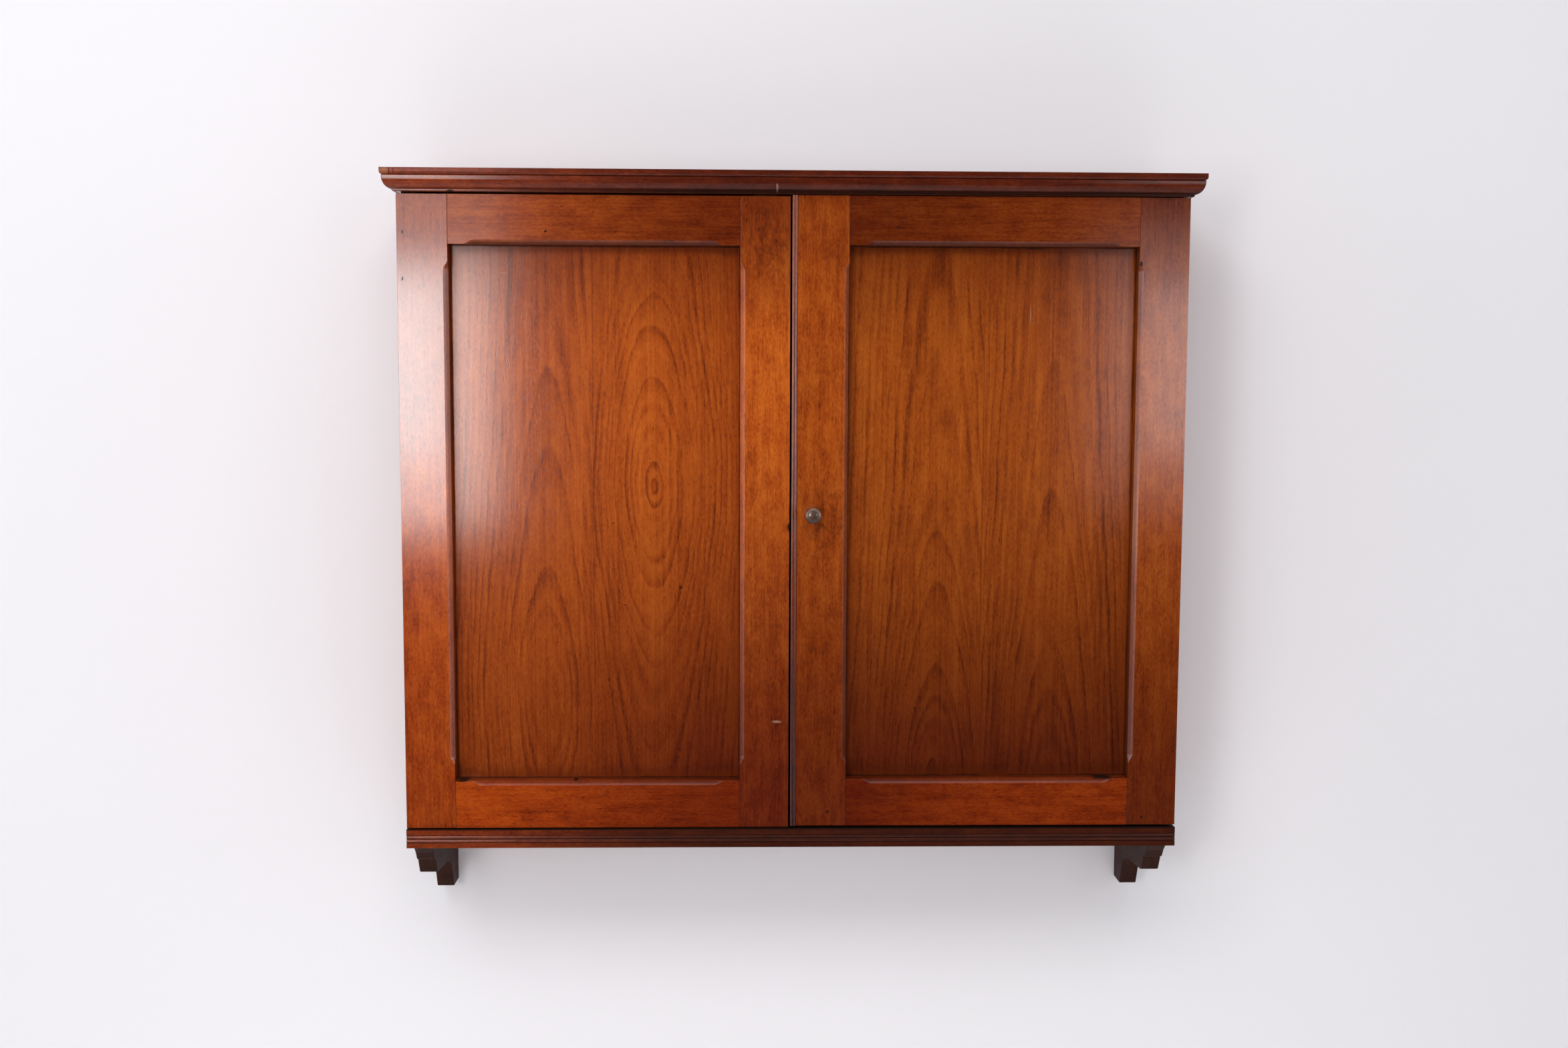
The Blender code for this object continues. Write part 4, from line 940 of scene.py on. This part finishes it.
def add_fasteners(brass, steel):
    screw = fastener_tree("screw_heads", True)
    nail = fastener_tree("nail_heads", False)
    brass_screws = {body: [] for body in ("carcass", "left_door", "right_door")}
    for node in SLOT_OF:
        if not node.endswith("_leaf"):
            continue
        low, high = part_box(node)
        hand = 1 if low.x > 0 else -1
        on_carcass = BODY_OF[node] == "carcass"
        inner = min(abs(low.x), abs(high.x))
        face = CARCASS_LEAF_FACE if on_carcass else DOOR_LEAF_FACE
        facing = (0, -1, 0) if on_carcass else (0, 1, 0)
        for share, inset in LEAF_SCREWS:
            height = low.z + (high.z - low.z) * share
            brass_screws[BODY_OF[node]].append(((hand * (inner + inset), face, height), facing))
    for node, inset in PLATE_END_INSETS.items():
        low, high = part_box(node)
        face = low.y + PLATE_THICKNESS
        for across in (low.x + PLATE_SIDE_INSET, high.x - PLATE_SIDE_INSET):
            for height in (low.z + inset, high.z - inset):
                brass_screws[BODY_OF[node]].append(((across, face, height), (0, 1, 0)))
    low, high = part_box("bolt_keeper")
    for across in (low.x + PLATE_SIDE_INSET, high.x - PLATE_SIDE_INSET):
        brass_screws["carcass"].append(((across, (low.y + high.y) / 2, low.z), (0, 0, -1)))
    for body, places in brass_screws.items():
        fasteners(f"brass_screws_{body}", screw, places, BRASS_SCREW, brass, body, "brass")
    steel_screws = []
    for node in SLOT_OF:
        if node.startswith("cleat"):
            low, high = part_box(node)
            hand = 1 if low.x > 0 else -1
            face = hand * min(abs(low.x), abs(high.x))
            for share in CLEAT_SCREWS:
                depth = low.y + (high.y - low.y) * share
                steel_screws.append(((face, depth, (low.z + high.z) / 2), (-hand, 0, 0)))
    low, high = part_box("hanging_rail")
    for share in RAIL_SCREWS:
        across = low.x + (high.x - low.x) * share
        steel_screws.append(((across, low.y, (low.z + high.z) / 2), (0, -1, 0)))
    fasteners("steel_screws_carcass", screw, steel_screws, STEEL_SCREW, steel, "carcass", "steel")
    nails = []
    nailed = [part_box(node) for node in ("shelf_lower", "shelf_upper", "hanging_rail")]
    rows = [(low.z + high.z) / 2 for low, high in nailed]
    for node in SLOT_OF:
        if node.startswith("back_board"):
            low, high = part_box(node)
            for height in rows:
                for across in (low.x + NAIL_INSET, high.x - NAIL_INSET):
                    nails.append(((across, high.y, height), (0, 1, 0)))
    fasteners("back_nails", nail, nails, NAIL, steel, "carcass", "steel")


# The wall that the cabinet hangs on, open where its back touches so that the back is lit, and a floor below
WALL_COLOUR = (0.90, 0.89, 0.92)
FLOOR_COLOUR = (0.86, 0.85, 0.85)
WALL_REACH = 4.0
WALL_GAP = 0.0006
OPENING_INSET = 0.0005
FLOOR_LEVEL = -1.90


def pale_surface(name, colour):
    """A plain surface that shows only its front to the camera, so it never hides the cabinet from behind."""
    finish = Finish(name)
    finish.shader.inputs["Roughness"].default_value = 0.9
    patches = finish.noise(finish.scaled(finish.place, (2.2, 2.2, 2.2)), 3.0).outputs["Fac"]
    darker = tuple(value * 0.97 for value in colour)
    finish.feed(finish.shader.inputs["Base Color"], finish.mix(patches, colour, darker))
    back = finish.node("ShaderNodeNewGeometry").outputs["Backfacing"]
    seen = finish.node("ShaderNodeLightPath").outputs["Is Camera Ray"]
    clear = finish.node("ShaderNodeBsdfTransparent").outputs[0]
    choose = finish.node("ShaderNodeMixShader")
    finish.feed(choose.inputs[0], finish.math("MULTIPLY", back, seen))
    finish.feed(choose.inputs[1], finish.shader.outputs[0])
    finish.feed(choose.inputs[2], clear)
    finish.feed(finish.tree.nodes["Material Output"].inputs["Surface"], choose.outputs[0])
    return finish.material


def wall_openings():
    """Left, right, foot and head of each part of the cabinet's back."""
    low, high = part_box("side_left")[0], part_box("side_right")[1]
    edges = [(low.x, high.x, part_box("base_board")[0].z, high.z)]
    for node in ("top_board", "bracket_left", "bracket_right"):
        low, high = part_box(node)
        edges.append((low.x, high.x, low.z, high.z))
    inset = OPENING_INSET
    return [(left + inset, right - inset, foot + inset, head - inset) for left, right, foot, head in edges]


def add_stage():
    openings = wall_openings()
    across = sorted({-WALL_REACH, WALL_REACH, *(edge for row in openings for edge in row[:2])})
    heights = sorted({FLOOR_LEVEL, WALL_REACH, *(edge for row in openings for edge in row[2:])})
    corners = [(x, WALL_GAP, z) for z in heights for x in across]
    faces = []
    for i in range(len(heights) - 1):
        for j in range(len(across) - 1):
            x = (across[j] + across[j + 1]) / 2
            z = (heights[i] + heights[i + 1]) / 2
            if not any(left < x < right and foot < z < head for left, right, foot, head in openings):
                first = i * len(across) + j
                above = first + len(across)
                faces.append((first, first + 1, above + 1, above))
    mesh = bpy.data.meshes.new("wall")
    mesh.from_pydata(corners, [], faces)
    mesh.materials.append(pale_surface("wall_paint", WALL_COLOUR))
    wall = new_object("wall", mesh)
    mesh = bpy.data.meshes.new("floor")
    signs = ((-1, -1), (1, -1), (1, 1), (-1, 1))
    corners = [(x * WALL_REACH, y * WALL_REACH, FLOOR_LEVEL) for x, y in signs]
    mesh.from_pydata(corners, [], [(0, 1, 2, 3)])
    mesh.materials.append(pale_surface("floor_paint", FLOOR_COLOUR))
    floor = new_object("floor", mesh)


# Soft lamps: name, place, point it faces, width, height, radiance, colour, and whether polish and metal
# show it
ROSY = (1.0, 0.98, 0.98)
COOL = (0.98, 0.98, 1.0)
WARM = (1.0, 0.98, 0.97)
WHITE = (1.0, 1.0, 1.0)
LAMPS = (
    ("left_window", (-0.95, -2.40, 0.19), (-0.20, -0.18, 0.05), 0.26, 0.46, 5.3, ROSY, True),
    ("left_window_edge", (-0.95, -2.41, 0.13), (-0.20, -0.18, 0.05), 0.50, 0.68, 5.7, ROSY, True),
    ("left_window_glow", (-1.02, -2.42, 0.32), (-0.20, -0.18, 0.05), 0.70, 1.20, 2.0, ROSY, True),
    ("right_window", (1.10, -2.40, 0.20), (0.20, -0.18, 0.05), 0.30, 0.44, 2.2, COOL, True),
    ("right_window_glow", (1.10, -2.41, 0.20), (0.20, -0.18, 0.05), 0.52, 0.74, 0.9, COOL, True),
    ("left_side", (-2.20, -0.95, 0.35), (0.0, -0.15, 0.05), 0.90, 1.40, 1.2, COOL, True),
    ("left_strip", (-2.20, -0.38, 0.10), (0.0, -0.15, 0.05), 0.14, 1.30, 3.0, COOL, True),
    ("right_side", (2.20, -1.00, 0.30), (0.0, -0.15, 0.05), 0.80, 1.20, 1.6, COOL, True),
    ("front_high", (-0.45, -2.30, 1.75), (0.0, -0.10, 0.0), 2.40, 1.00, 5.0, WARM, False),
    ("front_low", (-0.10, -1.10, -1.40), (0.0, -0.05, -0.70), 2.60, 0.35, 2.4, WARM, False),
    ("overhead", (-0.10, -0.90, 2.20), (0.0, -0.10, 0.0), 2.00, 1.20, 0.5, WARM, True),
    ("behind", (0.40, 2.60, 0.90), (0.0, 0.0, 0.0), 1.60, 1.20, 8.0, WHITE, True),
)
# The room: pale all round, but unlit in front of the cabinet, as its polish shows
ROOM_COLOUR = (0.95, 0.95, 1.0)
ROOM_STRENGTH = 0.48
UNLIT_STRENGTH = 0.02
UNLIT_EDGE = (0.60, 0.86)
BACKGROUND = (0.86, 0.85, 0.88)


def add_lights():
    for name, place, target, width, height, radiance, colour, shows in LAMPS:
        lamp = bpy.data.lights.new(name, "AREA")
        lamp.shape = "RECTANGLE"
        lamp.size = width
        lamp.size_y = height
        lamp.energy = radiance * math.pi * width * height
        lamp.color = colour
        holder = new_object(name, lamp)
        holder.visible_glossy = shows
        holder.location = place
        holder.rotation_euler = (Vector(target) - Vector(place)).to_track_quat("-Z", "Y").to_euler()
    light_room()


def light_room():
    world = bpy.data.worlds.new("pale_room")
    world.use_nodes = True
    room = Nodes(world.node_tree)
    direction = room.node("ShaderNodeTexCoord").outputs["Generated"]
    unlit = room.ramp(room.vector("DOT_PRODUCT", direction, (0, -1, 0)).outputs["Value"], *UNLIT_EDGE)
    strength = room.math("MULTIPLY_ADD", unlit, UNLIT_STRENGTH - ROOM_STRENGTH, ROOM_STRENGTH)
    light = world.node_tree.nodes["Background"]
    room.feed(light.inputs["Color"], (*ROOM_COLOUR, 1))
    room.feed(light.inputs["Strength"], strength)
    seen = room.node("ShaderNodeBackground")
    room.feed(seen.inputs["Color"], (*BACKGROUND, 1))
    path = room.node("ShaderNodeLightPath").outputs
    mirrored = room.math("MAXIMUM", path["Is Glossy Ray"], path["Is Transmission Ray"])
    mirrored = room.math("MULTIPLY", mirrored, room.math("SUBTRACT", 1.0, unlit))
    choose = room.node("ShaderNodeMixShader")
    room.feed(choose.inputs[0], room.math("MAXIMUM", path["Is Camera Ray"], mirrored))
    room.feed(choose.inputs[1], light.outputs[0])
    room.feed(choose.inputs[2], seen.outputs[0])
    room.feed(world.node_tree.nodes["World Output"].inputs["Surface"], choose.outputs[0])
    bpy.context.scene.world = world


def add_camera():
    camera = bpy.data.cameras.new("camera")
    camera.sensor_width = CAMERA_SENSOR
    camera.lens = CAMERA_LENS
    holder = new_object("camera", camera)
    level = math.cos(CAMERA_PITCH)
    ahead = Vector((math.sin(CAMERA_TURN) * level, math.cos(CAMERA_TURN) * level, math.sin(CAMERA_PITCH)))
    aside = ahead.cross(Vector((0, 0, 1))).normalized()
    above = aside.cross(ahead)
    roll = Matrix.Rotation(-CAMERA_ROLL, 3, ahead)
    axes = Matrix((roll @ aside, roll @ above, -ahead)).transposed()
    holder.matrix_world = Matrix.Translation(CAMERA_PLACE) @ axes.to_4x4()
    bpy.context.scene.camera = holder


dress_doors()
dress_carcass()
add_fasteners(*dress_metal())
add_stage()
add_lights()
add_camera()
bpy.context.scene.view_settings.view_transform = "Standard"
